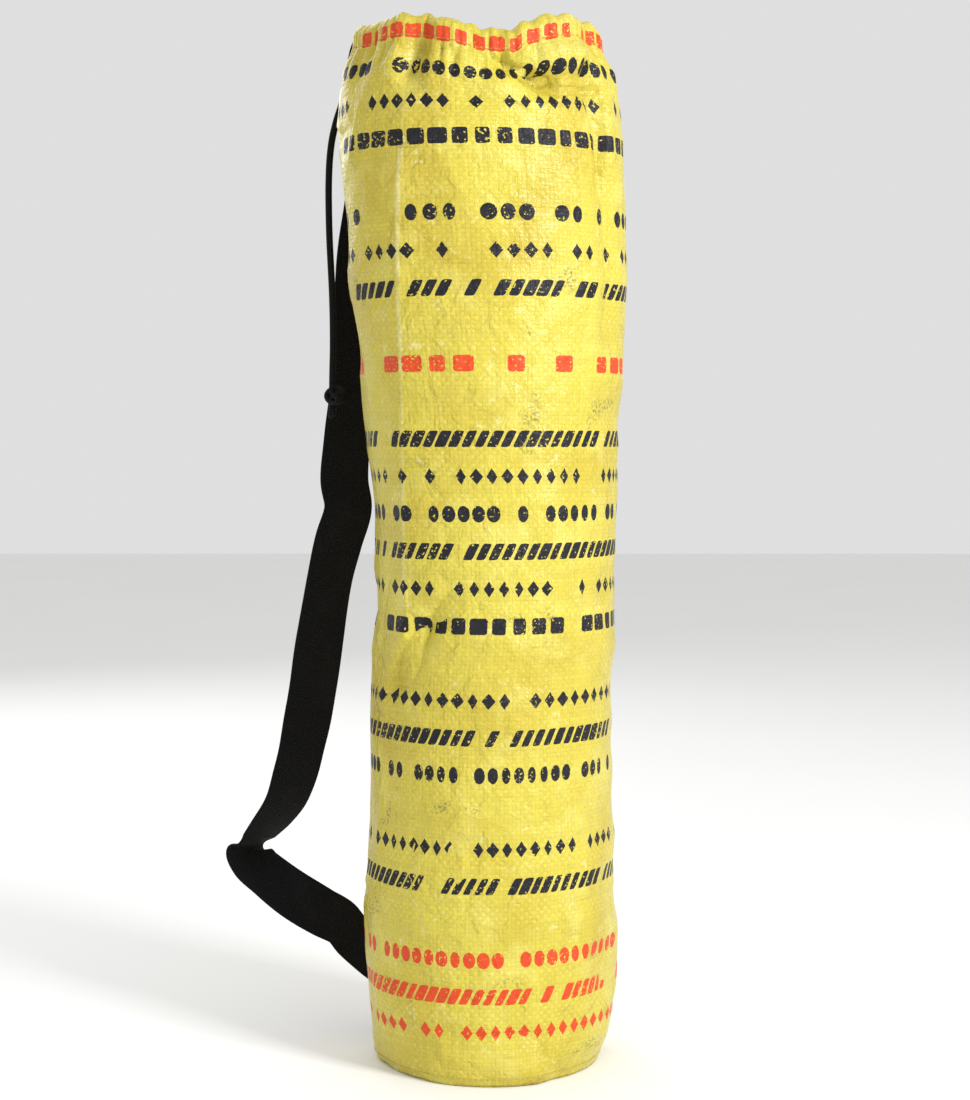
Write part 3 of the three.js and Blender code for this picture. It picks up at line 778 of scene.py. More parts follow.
def knot_path(side):
    """One strand of an overhand knot: the curve (t^3 - 3t, t^4 - 4t^2, t^5 / 5 - 2t) with its length
    upright, starting at the foot of a free end and leaving downwards as a cut end."""
    foot = tail_path(side)[-1]
    t = np.linspace(-KNOT_BEND, KNOT_BEND, KNOT_CURVE_POINTS)
    ends = smooth(0, KNOT_FADE, KNOT_BEND - np.abs(t))
    rise = -(t**3 - 3 * t)
    depth = (t**4 - 4 * t**2 + KNOT_LEVEL) * ends
    breadth = (t**5 / 5 - 2 * t) * ends
    middle = foot[2] + KNOT_SOCKET - KNOT_LENGTH / 2
    body = (
        np.array([foot[0], foot[1], middle])
        + depth[:, None] * KNOT_DEPTH * exit_out
        + breadth[:, None] * KNOT_BREADTH * exit_side
        + rise[:, None] * KNOT_RISE * UP
    )
    end_share = 1 if side > 0 else KNOT_BACK_END_SHARE
    low = middle - KNOT_LENGTH / 2 - KNOT_END_LENGTH * end_share
    splay = exit_side * side * KNOT_SPLAY
    tail = np.stack([body[-1] + splay / 2, body[-1] + splay])
    tail[:, 2] = [(body[-1][2] + low) / 2, low]
    rough = resample(np.concatenate([[foot], body[2:], tail]), KNOT_GUIDE_POINTS)
    return smooth_path(rough, KNOT_STEPS, KNOT_RINGS)


def join_pieces(name, pieces):
    """One piece from several."""
    with bpy.context.temp_override(active_object=pieces[0], selected_editable_objects=pieces):
        bpy.ops.object.join()
    pieces[0].name = name
    pieces[0].data.name = name
    return pieces[0]


def dressed(piece, slot_name, *nodes):
    """The piece rides on the bag and stands for its nodes, which it hides. Its slot_name is not used."""
    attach(piece, "root")
    if nodes:
        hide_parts(*nodes)
    return piece


knot_strands = []
for strand_side in (1, -1):
    strand_grid, strand_uv = cord_grid(knot_path(strand_side), CORD_DIAMETER / 2, CORD_SIDES, taper=4)
    knot_strands.append(grid_piece(f"knot_strand_{len(knot_strands)}", strand_grid, strand_uv))
tied_knot = dressed(join_pieces("tied_knot", knot_strands), "cord", "cord_knot")

cord_tails = []
for tail_name, node_name, tail_side in (
    ("front_tail", "cord_tail_front", 1),
    ("back_tail", "cord_tail_back", -1),
):
    line = tail_path(tail_side)
    tail_grid, tail_uv = cord_grid(line, CORD_DIAMETER / 2, CORD_SIDES)
    tail = dressed(grid_piece(tail_name, tail_grid, tail_uv), "cord", node_name)
    cord_tails.append(tail)

# Drawcord inside the casing
RING_RINGS = 900
RING_STEPS = 6000
RING_SIDES = 12
RING_BEND = 1.3
RING_INLET = 0.35
RING_TURNS_COUNT = 57
RING_SOFTEN = 4
RING_SAMPLES = 21
bend_turn = turn_of(CORD_SPACING / 2 + RING_BEND * CORD_DIAMETER)
ring_turns = np.linspace(CORD_EXIT_TURN + bend_turn, CORD_EXIT_TURN + 360 - bend_turn, RING_TURNS_COUNT)


def softened_channel(turns):
    """The middle of the casing's channel at some turns, as the mean of places a little to both sides."""
    nearby = turns[:, None] + np.linspace(-RING_SOFTEN, RING_SOFTEN, RING_SAMPLES)
    shift = (casing_point(nearby, 0.0, CORD_UP, True) - casing_point(nearby, 0.0, CORD_UP)).mean(1)
    return casing_point(turns, 0.0, CORD_UP) + shift


ring_outs = (TAIL_START, CASING_HALF, CASING_HALF * RING_INLET)
ring_points = np.concatenate(
    [
        [exit_point(1, out) for out in ring_outs],
        softened_channel(ring_turns),
        [exit_point(-1, out) for out in ring_outs[::-1]],
    ]
)
ring_line = smooth_path(ring_points, RING_STEPS, RING_RINGS)
ring_grid, ring_uv = cord_grid(ring_line, CORD_DIAMETER / 2, RING_SIDES)
cord_in_casing = dressed(grid_piece("cord_in_casing", ring_grid, ring_uv), "cord", "drawcord_ring")

# Bag wall
WALL_COLUMNS = 412
EDGE_FOLLOW = 45
FIRST_AWAY = STRAP_TURN - EDGE_TOP_TURN

# Rows of the wall, as spans of its height: start, end and steps
OUTER_SPANS = ((0, 0.03, 8), (0.03, 0.37, 40), (0.37, 0.47, 28), (0.47, 0.86, 46), (0.86, STITCH_AT, 46))
INNER_SPANS = ((STITCH_AT, 0.86, 10), (0.86, 0, 14))


def spaced(spans):
    """Numbers that run through spans of (start, end, steps), and the last end."""
    parts = [np.linspace(start, end, steps, endpoint=False) for start, end, steps in spans]
    return np.concatenate([*parts, [spans[-1][1]]])


def flank(start, end):
    """The steps from one corner of the casing's cross-section to the next, without its ends."""
    share = np.linspace(0, 1, FLANK_STEPS + 1)[1:-1, None]
    return np.array(start) + share * (np.array(end) - np.array(start))


outer_rows = spaced(OUTER_SPANS)
inner_rows = spaced(INNER_SPANS)
casing_profile = np.concatenate(
    [
        flank((STITCH_OUT, 0), (CASING_HALF, CORD_UP)),
        arch(CASING_HALF, CASING_HEIGHT),
        flank((-CASING_HALF, CORD_UP), (-STITCH_OUT, 0)),
        [(-STITCH_OUT, 0), (-STITCH_OUT, -HEM_TAIL), (-HEM_SLIT / 2, -HEM_TAIL), (-HEM_SLIT / 2, 0)],
        arch(CHANNEL_HALF, CHANNEL_TOP)[::-1],
    ]
)


def column_turns(at, columns):
    """The turns of a ring's points at a height, from under the strap right round: even, but with one
    column on the pressed edge."""
    first = round(FIRST_AWAY * columns / 360)
    away = (np.arange(columns) + first) * 360 / columns
    follow = np.exp(-((wrap(away) / EDGE_FOLLOW) ** 2))
    return EDGE_TOP_TURN + (edge_turn(at) - EDGE_TOP_TURN) * follow + away


def wall_grid():
    """The wall's points: up its outside, over the casing and its hem, and down its inside. With them
    come their turns and the length up the cloth at each row."""
    outer_turns = np.stack([column_turns(at, WALL_COLUMNS) for at in outer_rows])
    inner_turns = np.stack([column_turns(at, WALL_COLUMNS) for at in inner_rows])
    rim_turns = np.broadcast_to(column_turns(STITCH_AT, WALL_COLUMNS), (len(casing_profile), WALL_COLUMNS))
    outside = cloth_point(outer_turns, outer_rows[:, None], 0.0, True)
    rim = casing_point(rim_turns, casing_profile[:, :1], casing_profile[:, 1:], True)
    inside = cloth_point(inner_turns, inner_rows[:, None], -CLOTH_THICKNESS, True)
    rim_length = STITCH_AT * BAG_HEIGHT + along_path(np.concatenate([[(STITCH_OUT, 0)], casing_profile]))[1:]
    length = np.concatenate([outer_rows * BAG_HEIGHT, rim_length, inner_rows * BAG_HEIGHT])
    turns = np.concatenate([outer_turns, rim_turns, inner_turns])
    return np.concatenate([outside, rim, inside]), turns, length


wall_points, wall_turns, wall_length = wall_grid()
wall_arc = arc_of(np.concatenate([wall_turns, wall_turns[:, :1] + 360], 1))
wall_uv = surface_uv(wall_arc, wall_length[:, None])
wall_uv = np.concatenate([wall_uv, wall_uv[:1]])
sack_wall = dressed(grid_piece("sack_wall", wall_points, wall_uv, join_ends=True), "sacking", "bag_wall")
printed = np.zeros(wall_points.shape[:2], np.float32)
printed[: len(outer_rows) + FLANK_STEPS + ARCH_STEPS // 2] = 1
sack_wall.data.attributes.new("outside", "FLOAT", "POINT").data.foreach_set("value", printed.ravel())

# Base panel
BASE_COLUMNS = 180
DISC_SHARES = (0.15, 0.3, 0.5, 0.7, 0.86, 0.96)
SEAM_SHARES = (0, 0.23, 0.46, 0.77, 1)
base_rows = np.array(SEAM_SHARES) * BASE_SEAM_HEIGHT / BAG_HEIGHT


def base_ring(at, inset, lift=0.0, share=1.0):
    """A ring of the base's edge, inside the wall by the gap and an inset, or a share of it on the disc."""
    ring = cloth_point(column_turns(at, BASE_COLUMNS), at, -CLOTH_THICKNESS - PIECE_GAP - inset)
    ring = ring * (share, share, 1.0)
    ring[:, 2] += lift
    return ring


base_grid = np.stack(
    [base_ring(0.0, BASE_THICKNESS, 0.0, share) for share in DISC_SHARES]
    + [base_ring(at, 0.0) for at in base_rows]
    + [base_ring(at, BASE_THICKNESS) for at in base_rows[:0:-1]]
    + [base_ring(0.0, BASE_THICKNESS, BASE_THICKNESS, share) for share in DISC_SHARES[::-1]]
)
closed_base = np.concatenate([base_grid, base_grid[:, :1]], 1)
base_panel = dressed(grid_piece("round_base", base_grid, closed_base[..., :2]), "sacking", "base_panel")

# Exit hole in the casing's outer layer
HOLE_RADIUS = CORD_DIAMETER / 2 + CORD_EXIT_CLEARANCE
HOLE_SIDES = 40
HOLE_START = 0.05
hole_angle = np.linspace(0, 2 * math.pi, HOLE_SIDES, endpoint=False) + HOLE_START
hole_across = np.cos(hole_angle) * HOLE_RADIUS + np.sign(np.cos(hole_angle)) * CORD_SPACING / 2
hole_up = np.sin(hole_angle) * HOLE_RADIUS
hole_outline = hole_across[:, None] * exit_side + hole_up[:, None] * UP
hole_grid = exit_seat + hole_outline + np.array([0, 3 * CASING_HALF])[:, None, None] * exit_out
cutter = grid_piece("hole_cutter", hole_grid, np.zeros((3, len(hole_angle) + 1, 2)))


def cut_with(piece, tool):
    """Cuts a tool's shape out of a piece, keeps the result as the piece's mesh and removes the tool."""
    change = piece.modifiers.new("cut", "BOOLEAN")
    change.operation = "DIFFERENCE"
    change.solver = "EXACT"
    change.object = tool
    made = bpy.data.meshes.new_from_object(piece.evaluated_get(bpy.context.evaluated_depsgraph_get()))
    piece.modifiers.clear()
    old = piece.data
    piece.data = made
    bpy.data.meshes.remove(old)
    bpy.data.objects.remove(tool)
    made.name = piece.name


cut_with(sack_wall, cutter)

# Shoulder strap
STRAP_OFFSET = PIECE_GAP + STRAP_THICKNESS / 2
SEWN_TOP_FOOT = STRAP_TOP_HEIGHT - STRAP_TOP_SEWN
SEWN_FOOT_TOP = STRAP_FOOT_HEIGHT + STRAP_FOOT_SEWN
STRAP_RINGS = 420
SEWN_RINGS = 14
STRAP_RIPPLE = 0.00035
STRAP_RIPPLE_LENGTH = 0.05
STRAP_RIPPLE_DRIFT = 1.5
STRAP_RIPPLE_DRIFT_LENGTH = 0.2027
STRAP_RIPPLE_FADE = 0.05
FACE_POINTS = 23
EDGE_POINTS = 5
SLOPE_STEP = 1e-4


def strap_profile():
    """The ribbon's cross-section as (across, out) rows: two flats joined by half circles."""
    flat = STRAP_WIDTH / 2 - STRAP_THICKNESS / 2
    face = np.linspace(-flat, flat, FACE_POINTS)
    bend = np.radians(np.linspace(90, -90, EDGE_POINTS + 2))[1:-1]
    radius = STRAP_THICKNESS / 2
    front = np.stack([face, np.full_like(face, radius)], -1)
    edge = np.stack([flat + radius * np.cos(bend), radius * np.sin(bend)], -1)
    return np.concatenate([front, edge, front * (-1, -1), edge * (-1, -1)])


def sewn_rings(heights, profile):
    """Rings of the ribbon where it follows the cloth."""
    turn = STRAP_TURN - turn_of(profile[:, 0])
    seat = cloth_point(turn[None, :], heights[:, None] / BAG_HEIGHT, STRAP_OFFSET)
    return seat + outwards(turn) * profile[:, 1:]


def route_points():
    """The middle of the ribbon at each row of its route, outside the plain section."""
    height = SEWN_FOOT_TOP + STRAP_ROUTE["up"] * (SEWN_TOP_FOOT - SEWN_FOOT_TOP)
    offset = STRAP_OFFSET + STRAP_ROUTE["away"] * STRAP_REACH
    return section_point(STRAP_ROUTE["turn"], height / BAG_HEIGHT, offset)


def sewn_middle(height):
    """The ribbon's middle at one height on the cloth."""
    return cloth_point(np.array([float(STRAP_TURN)]), height / BAG_HEIGHT, STRAP_OFFSET)


def free_rings(profile):
    """Rings of the ribbon's free length: its middle curve, and the direction across it, blended along
    the route and kept square to it."""
    swing = np.radians(STRAP_ROUTE["swing"])
    rise = np.radians(STRAP_ROUTE["rise"])
    leaning = np.stack([np.cos(rise) * np.cos(swing), np.cos(rise) * np.sin(swing), np.sin(rise)], -1)
    held = np.repeat(-sideways(float(STRAP_TURN))[None], 2, axis=0)
    middle_points = np.concatenate(
        [
            sewn_middle(STRAP_TOP_HEIGHT),
            sewn_middle(SEWN_TOP_FOOT),
            route_points(),
            sewn_middle(SEWN_FOOT_TOP),
            sewn_middle(STRAP_FOOT_HEIGHT),
        ]
    )
    legs = len(middle_points) - 1
    t = (1 + np.linspace(0, 1, STRAP_RINGS + 2)[1:-1] * (legs - 2)) / legs
    middle = catmull_rom(middle_points, t)
    along = catmull_rom(middle_points, t + SLOPE_STEP) - catmull_rom(middle_points, t - SLOPE_STEP)
    along = unit(along)
    across = square_to(catmull_rom(np.concatenate([held, leaning, held]), t), along)
    out = np.cross(across, along)
    length = along_path(middle)
    drift = STRAP_RIPPLE_DRIFT * np.sin(2 * math.pi * length / STRAP_RIPPLE_DRIFT_LENGTH)
    ripple = STRAP_RIPPLE * np.sin(2 * math.pi * length / STRAP_RIPPLE_LENGTH + drift)
    ripple *= smooth(0, STRAP_RIPPLE_FADE, length) * smooth(0, STRAP_RIPPLE_FADE, length[-1] - length)
    cup = (profile[:, 0] / (STRAP_WIDTH / 2)) ** 2
    height = profile[None, :, 1] + ripple[:, None] * cup[None, :] * np.sign(profile[None, :, 0])
    return middle[:, None] + across[:, None] * profile[None, :, :1] + out[:, None] * height[..., None]


ribbon = strap_profile()
strap_grid = np.concatenate(
    [
        sewn_rings(np.linspace(STRAP_TOP_HEIGHT, SEWN_TOP_FOOT, SEWN_RINGS), ribbon),
        free_rings(ribbon),
        sewn_rings(np.linspace(SEWN_FOOT_TOP, STRAP_FOOT_HEIGHT, SEWN_RINGS), ribbon),
    ]
)
ribbon_round = along_path(np.concatenate([ribbon, ribbon[:1]]))
strap_length = along_path(strap_grid[:, len(ribbon) // 4])
strap_uv = surface_uv(ribbon_round, strap_length[:, None])
webbing_strap = dressed(grid_piece("webbing_strap", strap_grid, strap_uv), "webbing", "shoulder_strap")

# Stitches
STITCH_PITCH = 0.0036
STITCH_LENGTH = 0.0028
STITCH_WIDTH = 0.0007
STITCH_SINK = 0.00012
STITCH_RINGS = 5
STITCH_SIDES = 6
STITCH_FULLNESS = 0.6
LINE_POINTS = 1441
BASE_STITCH_AT = 0.0075
BOX_INSET = 0.0045
BOX_SIDE_POINTS = 30


def stitch_shape():
    """One stitch: a capsule along X, of rings whose radius is a root of a sine, and two poles. Returns
    its points, the quads between its rings and the triangles at its poles."""
    angle = np.linspace(0, math.pi, STITCH_RINGS + 2)[1:-1, None]
    round_angle = np.arange(STITCH_SIDES) * 2 * math.pi / STITCH_SIDES
    radius = np.sin(angle) ** STITCH_FULLNESS
    sides = (-np.cos(angle), radius * np.cos(round_angle), radius * np.sin(round_angle))
    rings = np.stack(np.broadcast_arrays(*sides), -1).reshape(-1, 3)
    points = np.concatenate([rings, [[-1, 0, 0], [1, 0, 0]]])
    size = (STITCH_LENGTH / 2, STITCH_WIDTH / 2, STITCH_WIDTH / 2)
    ring = np.arange(STITCH_SIDES)
    after = (ring + 1) % STITCH_SIDES
    band = np.arange(STITCH_RINGS - 1)[:, None] * STITCH_SIDES
    corners = (band + ring, band + after, band + STITCH_SIDES + after, band + STITCH_SIDES + ring)
    pole = np.full(STITCH_SIDES, STITCH_RINGS * STITCH_SIDES)
    last = (STITCH_RINGS - 1) * STITCH_SIDES
    caps = [np.stack([pole, after, ring], -1), np.stack([pole + 1, last + ring, last + after], -1)]
    return points * size, np.stack(corners, -1).reshape(-1, 4), np.concatenate(caps)


def stitch_row(name, line, normals, slot_name):
    """Stitches along a line on a surface, a pitch apart, each turned along it and half sunk in it."""
    length = along_path(line)
    count = int(length[-1] / STITCH_PITCH)
    wanted = (np.arange(count) + 0.5) * length[-1] / count
    along = unit(read_along(wanted, length, np.gradient(line, axis=0)))
    out = square_to(read_along(wanted, length, normals), along)
    middle = read_along(wanted, length, line) + out * STITCH_SINK
    shape, quads, caps = stitch_shape()
    turned = np.stack([along, np.cross(out, along), out], 1)
    placed = middle[:, None] + np.einsum("pk,nkc->npc", shape, turned)
    first = (np.arange(count) * len(shape))[:, None, None]
    faces = (first + quads).reshape(-1, 4).tolist() + (first + caps).reshape(-1, 3).tolist()
    return dressed(new_piece(name, placed.reshape(-1, 3), faces), slot_name)


round_turns = np.linspace(-180, 180, LINE_POINTS)
casing_line = cloth_point(round_turns, STITCH_AT, 0.0, True)
base_line = cloth_point(round_turns, BASE_STITCH_AT, 0.0, True)
casing_stitches = stitch_row("casing_stitches", casing_line, outwards(round_turns), "sacking")
base_stitches = stitch_row("base_stitches", base_line, outwards(round_turns), "sacking")


def strap_stitches(name, top, foot):
    """A box of stitches with a cross in it, on the outside of one sewn end of the strap."""
    half_width = STRAP_WIDTH / 2 - BOX_INSET
    high = top - BOX_INSET
    low = foot + BOX_INSET
    corners = np.array([(-half_width, high), (half_width, high), (half_width, low), (-half_width, low)])
    order = [0, 1, 2, 3, 0, 2, 1, 3]
    share = np.linspace(0, 1, BOX_SIDE_POINTS)[:, None]
    lines = []
    for start, end in zip(order[:-1], order[1:]):
        across, height = (corners[start] + share * (corners[end] - corners[start])).T
        turn = STRAP_TURN - turn_of(across)
        line = cloth_point(turn, height / BAG_HEIGHT, STRAP_OFFSET + STRAP_THICKNESS / 2)
        lines.append(stitch_row(f"{name}_{len(lines)}", line, outwards(turn), "webbing"))
    return join_pieces(name, lines)


strap_top_stitches = strap_stitches("strap_top_stitches", STRAP_TOP_HEIGHT, SEWN_TOP_FOOT)
strap_foot_stitches = strap_stitches("strap_foot_stitches", SEWN_FOOT_TOP, STRAP_FOOT_HEIGHT)


# Finishes
class Value:
    """A number in a material, an output of one of its nodes, that takes arithmetic as plain numbers do."""

    def __init__(self, paint, socket):
        self.paint = paint
        self.socket = socket

    def __add__(self, other):
        return self.paint.math("ADD", self, other)

    def __sub__(self, other):
        return self.paint.math("SUBTRACT", self, other)

    def __rsub__(self, other):
        return self.paint.math("SUBTRACT", other, self)

    def __mul__(self, other):
        return self.paint.math("MULTIPLY", self, other)

    def __truediv__(self, other):
        return self.paint.math("DIVIDE", self, other)

    def __mod__(self, other):
        return self.paint.math("FLOORED_MODULO", self, other)

    def __pow__(self, other):
        return self.paint.math("POWER", self, other)

    def __abs__(self):
        return self.paint.math("ABSOLUTE", self)

    def __gt__(self, other):
        return self.paint.math("GREATER_THAN", self, other)

    def __lt__(self, other):
        return self.paint.math("LESS_THAN", self, other)

    __radd__ = __add__
    __rmul__ = __mul__

    def floor(self):
        """The whole number below it."""
        return self.paint.math("FLOOR", self)

    def part(self):
        """What it has past the whole number below it."""
        return self.paint.math("FRACT", self)

    def sine(self):
        """The sine of it as an angle in radians."""
        return self.paint.math("SINE", self)

    def brought(self, low, high):
        """A number between low and high, from it as one between 0 and 1."""
        return self * (high - low) + low


class Finish:
    """A material, and short calls that add nodes to it."""

    def __init__(self, name):
        self.material = bpy.data.materials.new(name)
        self.material.use_nodes = True
        self.tree = self.material.node_tree
        self.shader = self.tree.nodes["Principled BSDF"]

    def feed(self, socket, value):
        """Sets an input to a plain value, or links an output to it."""
        if isinstance(value, Value):
            value = value.socket
        if isinstance(value, bpy.types.NodeSocket):
            self.tree.links.new(value, socket)
        else:
            socket.default_value = value

    def add(self, kind, inputs, **settings):
        """A node of a kind, with its settings, and what feeds its inputs."""
        made = self.tree.nodes.new(kind)
        for name, value in settings.items():
            setattr(made, name, value)
        for name, value in inputs.items():
            self.feed(made.inputs[name], value)
        return made

    def math(self, operation, a, b=0.0, clamp=False):
        """A sum, product or other operation on one or two numbers."""
        made = self.add("ShaderNodeMath", {0: a, 1: b}, operation=operation, use_clamp=clamp)
        return Value(self, made.outputs[0])

    def mix(self, share, a, b):
        """A colour between two colours."""
        return self.add("ShaderNodeMix", {0: share, 6: a, 7: b}, data_type="RGBA").outputs[2]

    def blend(self, share, a, b):
        """A number between two numbers."""
        made = self.add("ShaderNodeMix", {0: share, 2: a, 3: b}, data_type="FLOAT")
        return Value(self, made.outputs[0])

    def step(self, low, high, x):
        """A smooth step from 0 at low to 1 at high."""
        made = self.add("ShaderNodeMapRange", {0: x, 1: low, 2: high}, interpolation_type="SMOOTHSTEP")
        return Value(self, made.outputs[0])

    def point(self, x, y, z=0.0):
        """A vector from three numbers."""
        return self.add("ShaderNodeCombineXYZ", {0: x, 1: y, 2: z}).outputs[0]

    def noise(self, place, scale, detail=2, distortion=0):
        """Smooth noise between 0 and 1."""
        inputs = {"Vector": place, "Scale": scale, "Detail": detail, "Distortion": distortion}
        return Value(self, self.add("ShaderNodeTexNoise", inputs).outputs[0])

    def cell(self, x, y):
        """The random number and the random colour of a cell."""
        made = self.add("ShaderNodeTexWhiteNoise", {"Vector": self.point(x, y)}, noise_dimensions="2D")
        return Value(self, made.outputs[0]), made.outputs[1]

    def channels(self, colour):
        """The three numbers of a colour."""
        made = self.add("ShaderNodeSeparateColor", {0: colour})
        return [Value(self, output) for output in made.outputs]

    def bump(self, height, distance, strength=1, normal=None):
        """A normal tilted by a height, which is scaled by a distance in metres."""
        inputs = {"Height": height, "Distance": distance, "Strength": strength}
        if normal is not None:
            inputs["Normal"] = normal
        return self.add("ShaderNodeBump", inputs).outputs[0]

    def surface_place(self):
        """The place on the piece's own surface, in metres across and along it."""
        place = self.add("ShaderNodeUVMap", {}, uv_map="surface").outputs[0]
        made = self.add("ShaderNodeSeparateXYZ", {0: place})
        return Value(self, made.outputs[0]), Value(self, made.outputs[1])

    def object_place(self):
        """The place in the bag's own frame."""
        return self.add("ShaderNodeTexCoord", {}).outputs["Object"]

    def finished(self, colour, rough, normal=None):
        """The material, once its shader has its colour, roughness and normal."""
        self.feed(self.shader.inputs["Base Color"], colour)
        self.feed(self.shader.inputs["Roughness"], rough)
        if normal is not None:
            self.feed(self.shader.inputs["Normal"], normal)
        return self.material


# Print
# Rows of plain printed shapes, counted from the foot of the bag. Each shape is |x|^power + |y|^power < 1,
# so 1 is a lozenge, 2 an oval and 6 a block. Slant leans a row, and pitch is the width of one shape's place.
ROW_PITCH = 0.0226
ROW_COUNT = 29
SHAPE_HEIGHT = 0.44
HIGHEST_POWER = 10
LONGEST_PITCH = 0.02
SHORTEST_PITCH = 0.001
PRINT_COLUMNS = ("row", "ink", "power", "slant", "pitch")
PRINT_ROWS = [
    (1, "red", 1, 0.0, 0.0092),
    (2, "red", 6, 0.5, 0.0074),
    (3, "red", 2, 0.0, 0.0088),
    (5, "navy", 6, 0.5, 0.0070),
    (6, "navy", 1, 0.0, 0.0090),
    (8, "navy", 2, 0.0, 0.0084),
    (9, "navy", 6, 0.5, 0.0076),
    (10, "navy", 1, 0.0, 0.0100),
    (12, "navy", 6, 0.0, 0.0130),
    (13, "navy", 1, 0.0, 0.0094),
    (14, "navy", 6, 0.5, 0.0078),
    (15, "navy", 2, 0.0, 0.0092),
    (16, "navy", 1, 0.0, 0.0094),
    (17, "navy", 6, 0.5, 0.0078),
    (19, "red", 6, 0.0, 0.0150),
    (21, "navy", 6, 0.5, 0.0080),
    (22, "navy", 1, 0.0, 0.0096),
    (23, "navy", 2, 0.0, 0.0104),
    (25, "navy", 6, 0.0, 0.0120),
    (26, "navy", 1, 0.0, 0.0090),
    (27, "navy", 2, 0.0, 0.0086),
    (28, "red", 6, 0.0, 0.0110),
]
INKS = {"red": (0.60, 0.055, 0.008), "navy": (0.003, 0.003, 0.007)}
PRINT_LEFT = -0.122
PRINT_RIGHT = 0.128
PRINT_RAGGED = 0.018
SKIPPED = 0.16
NARROWEST = 0.62
WIDEST = 0.92
ROW_SHIFT = 40
INK_RAGGED = 0.0009

# Colours and fine structure of the finishes
YELLOW = (0.56, 0.475, 0.058, 1)
YELLOW_DEEP = (0.48, 0.375, 0.036, 1)
YELLOW_PALE = (0.64, 0.57, 0.13, 1)
# Worn yellow, also used for the painted highlight along the pressed edge
YELLOW_WORN_AND_HIGHLIT = (0.70, 0.66, 0.34, 1)
GREY_SMUDGE = (0.09, 0.10, 0.05, 1)
# The pressed edge's wear and painted highlight: how it fades across the line, and the heights where it fades
# in and out
EDGE_WEAR_AND_HIGHLIGHT = (0.0004, 0.0022)
EDGE_WEAR_AND_HIGHLIGHT_FOOT = (0.42, 0.48)
EDGE_WEAR_AND_HIGHLIGHT_TOP = (0.87, 0.92)
TAPE_FLATNESS = 5
TAPE_CROWN = 0.55
LINES_ACROSS = 2600
LINES_ALONG = 90

# Noises of the sacking: their scale, detail and distortion, then the values between which they show
STAINS = (9, 4, 0.8)
STAINS_SHOW = (0.38, 0.72)
CLOUDS = (42, 4, 0.5)
CLOUDS_SHOW = (0.48, 0.72)
SCUFFS = (150, 5, 1.2)
SCUFFS_SHOW = (0.62, 0.74)
SMUDGES = (24, 2, 0.4)
SMUDGES_SHOW = (0.66, 0.74)
FLAKES = (520, 4)
FLAKES_SHOW = (-0.015, 0.03)
FLAKE_PATCHES = (30, 3)
FLAKE_LIMITS = (0.17, 0.53)
RAGGED_RIMS = (700,)
SOFT_CRUMPLES = (75, 5, 0.6)
CRISP_CRUMPLES = (240, 3, 0.8)

# Tones of the tapes: by chance, a painted sheen by direction, and a painted shade from their sides to their
# crowns
CHANCE_TONES = (0.95, 1.05)
LEVEL_SHEEN_TONES = (0.975, 1.025)
CROWN_SHADE_TONES = (0.92, 1.02)

# Heights of the bumps
SOFT_BUMP = 0.0034
CRISP_BUMP = 0.0007
WEAVE_BUMP = 0.00016
LINE_BUMP = 0.00004
RIB_BUMP = 0.00035
YARN_BUMP = 0.00012
FUZZ_BUMP = 0.0001

# Black fibres
RIB_WIDTH = 0.0021
RIB_PITCH = 0.0017
YARN_WIDTH = 0.00045


def tape_weave(paint, u, v):
    """Plain weave of flat tapes: each cell shows one tape, upright in even cells and level in odd ones.
    Returns the height of the surface, a random shade for each tape and which tape shows."""
    across = u / TAPE_WIDTH
    along = v / TAPE_WIDTH
    level = (across.floor() + along.floor()) % 2

    def tape_height(over, beside):
        flank = 1 - abs(beside * 2 - 1) ** TAPE_FLATNESS
        return flank * (over * math.pi).sine().brought(1 - TAPE_CROWN, 1)

    upright_height = tape_height(along.part(), across.part())
    level_height = tape_height(across.part(), along.part())
    height = paint.blend(level, upright_height, level_height)
    shade = paint.blend(level, paint.cell(across.floor(), 3)[0], paint.cell(along.floor(), 7)[0])
    return height, shade, level


def row_ramp(paint, place, colour_of):
    """The colour and the cover of a ramp with one flat step for each row of print, clear between them."""
    ramp = paint.add("ShaderNodeValToRGB", {0: place})
    ramp.color_ramp.interpolation = "CONSTANT"
    stops = ramp.color_ramp.elements
    rows = {line["row"]: line for line in table(PRINT_COLUMNS, PRINT_ROWS)}
    for number in range(ROW_COUNT):
        stop = stops[number] if number < 2 else stops.new(number / ROW_COUNT)
        stop.position = number / ROW_COUNT
        stop.color = (*colour_of(rows[number]), 1) if number in rows else (0, 0, 0, 0)
    return ramp.outputs[0], Value(paint, ramp.outputs[1])


def worn_shapes(paint, u, v):
    """Rows of plain printed shapes: their cover and their colour. Shapes are of random widths, and some
    places are empty."""
    row = (v / ROW_PITCH).floor()
    up = (v / ROW_PITCH).part() * 2 - 1
    place = (row + 0.5) / ROW_COUNT
    ink, inked = row_ramp(paint, place, lambda line: INKS[line["ink"]])
    kind = row_ramp(
        paint,
        place,
        lambda line: (line["power"] / HIGHEST_POWER, line["slant"], line["pitch"] / LONGEST_PITCH),
    )
    power, slant, pitch = paint.channels(kind[0])
    power = power * HIGHEST_POWER
    pitch = paint.math("MAXIMUM", pitch * LONGEST_PITCH, SHORTEST_PITCH)
    row_chances = paint.channels(paint.cell(row, 11)[1])
    along = (u - slant * up * (ROW_PITCH / 2)) / pitch + row_chances[1] * ROW_SHIFT
    chances = paint.channels(paint.cell(along.floor(), row)[1])
    x = abs((along.part() * 2 - 1) / chances[1].brought(NARROWEST, WIDEST)) ** power
    y = abs(up / SHAPE_HEIGHT) ** power
    left = PRINT_LEFT - row_chances[2] * PRINT_RAGGED
    right = PRINT_RIGHT + row_chances[0] * PRINT_RAGGED
    shown = (chances[0] > SKIPPED) * (u > left) * (u < right)
    return (x + y < 1) * shown * inked, ink


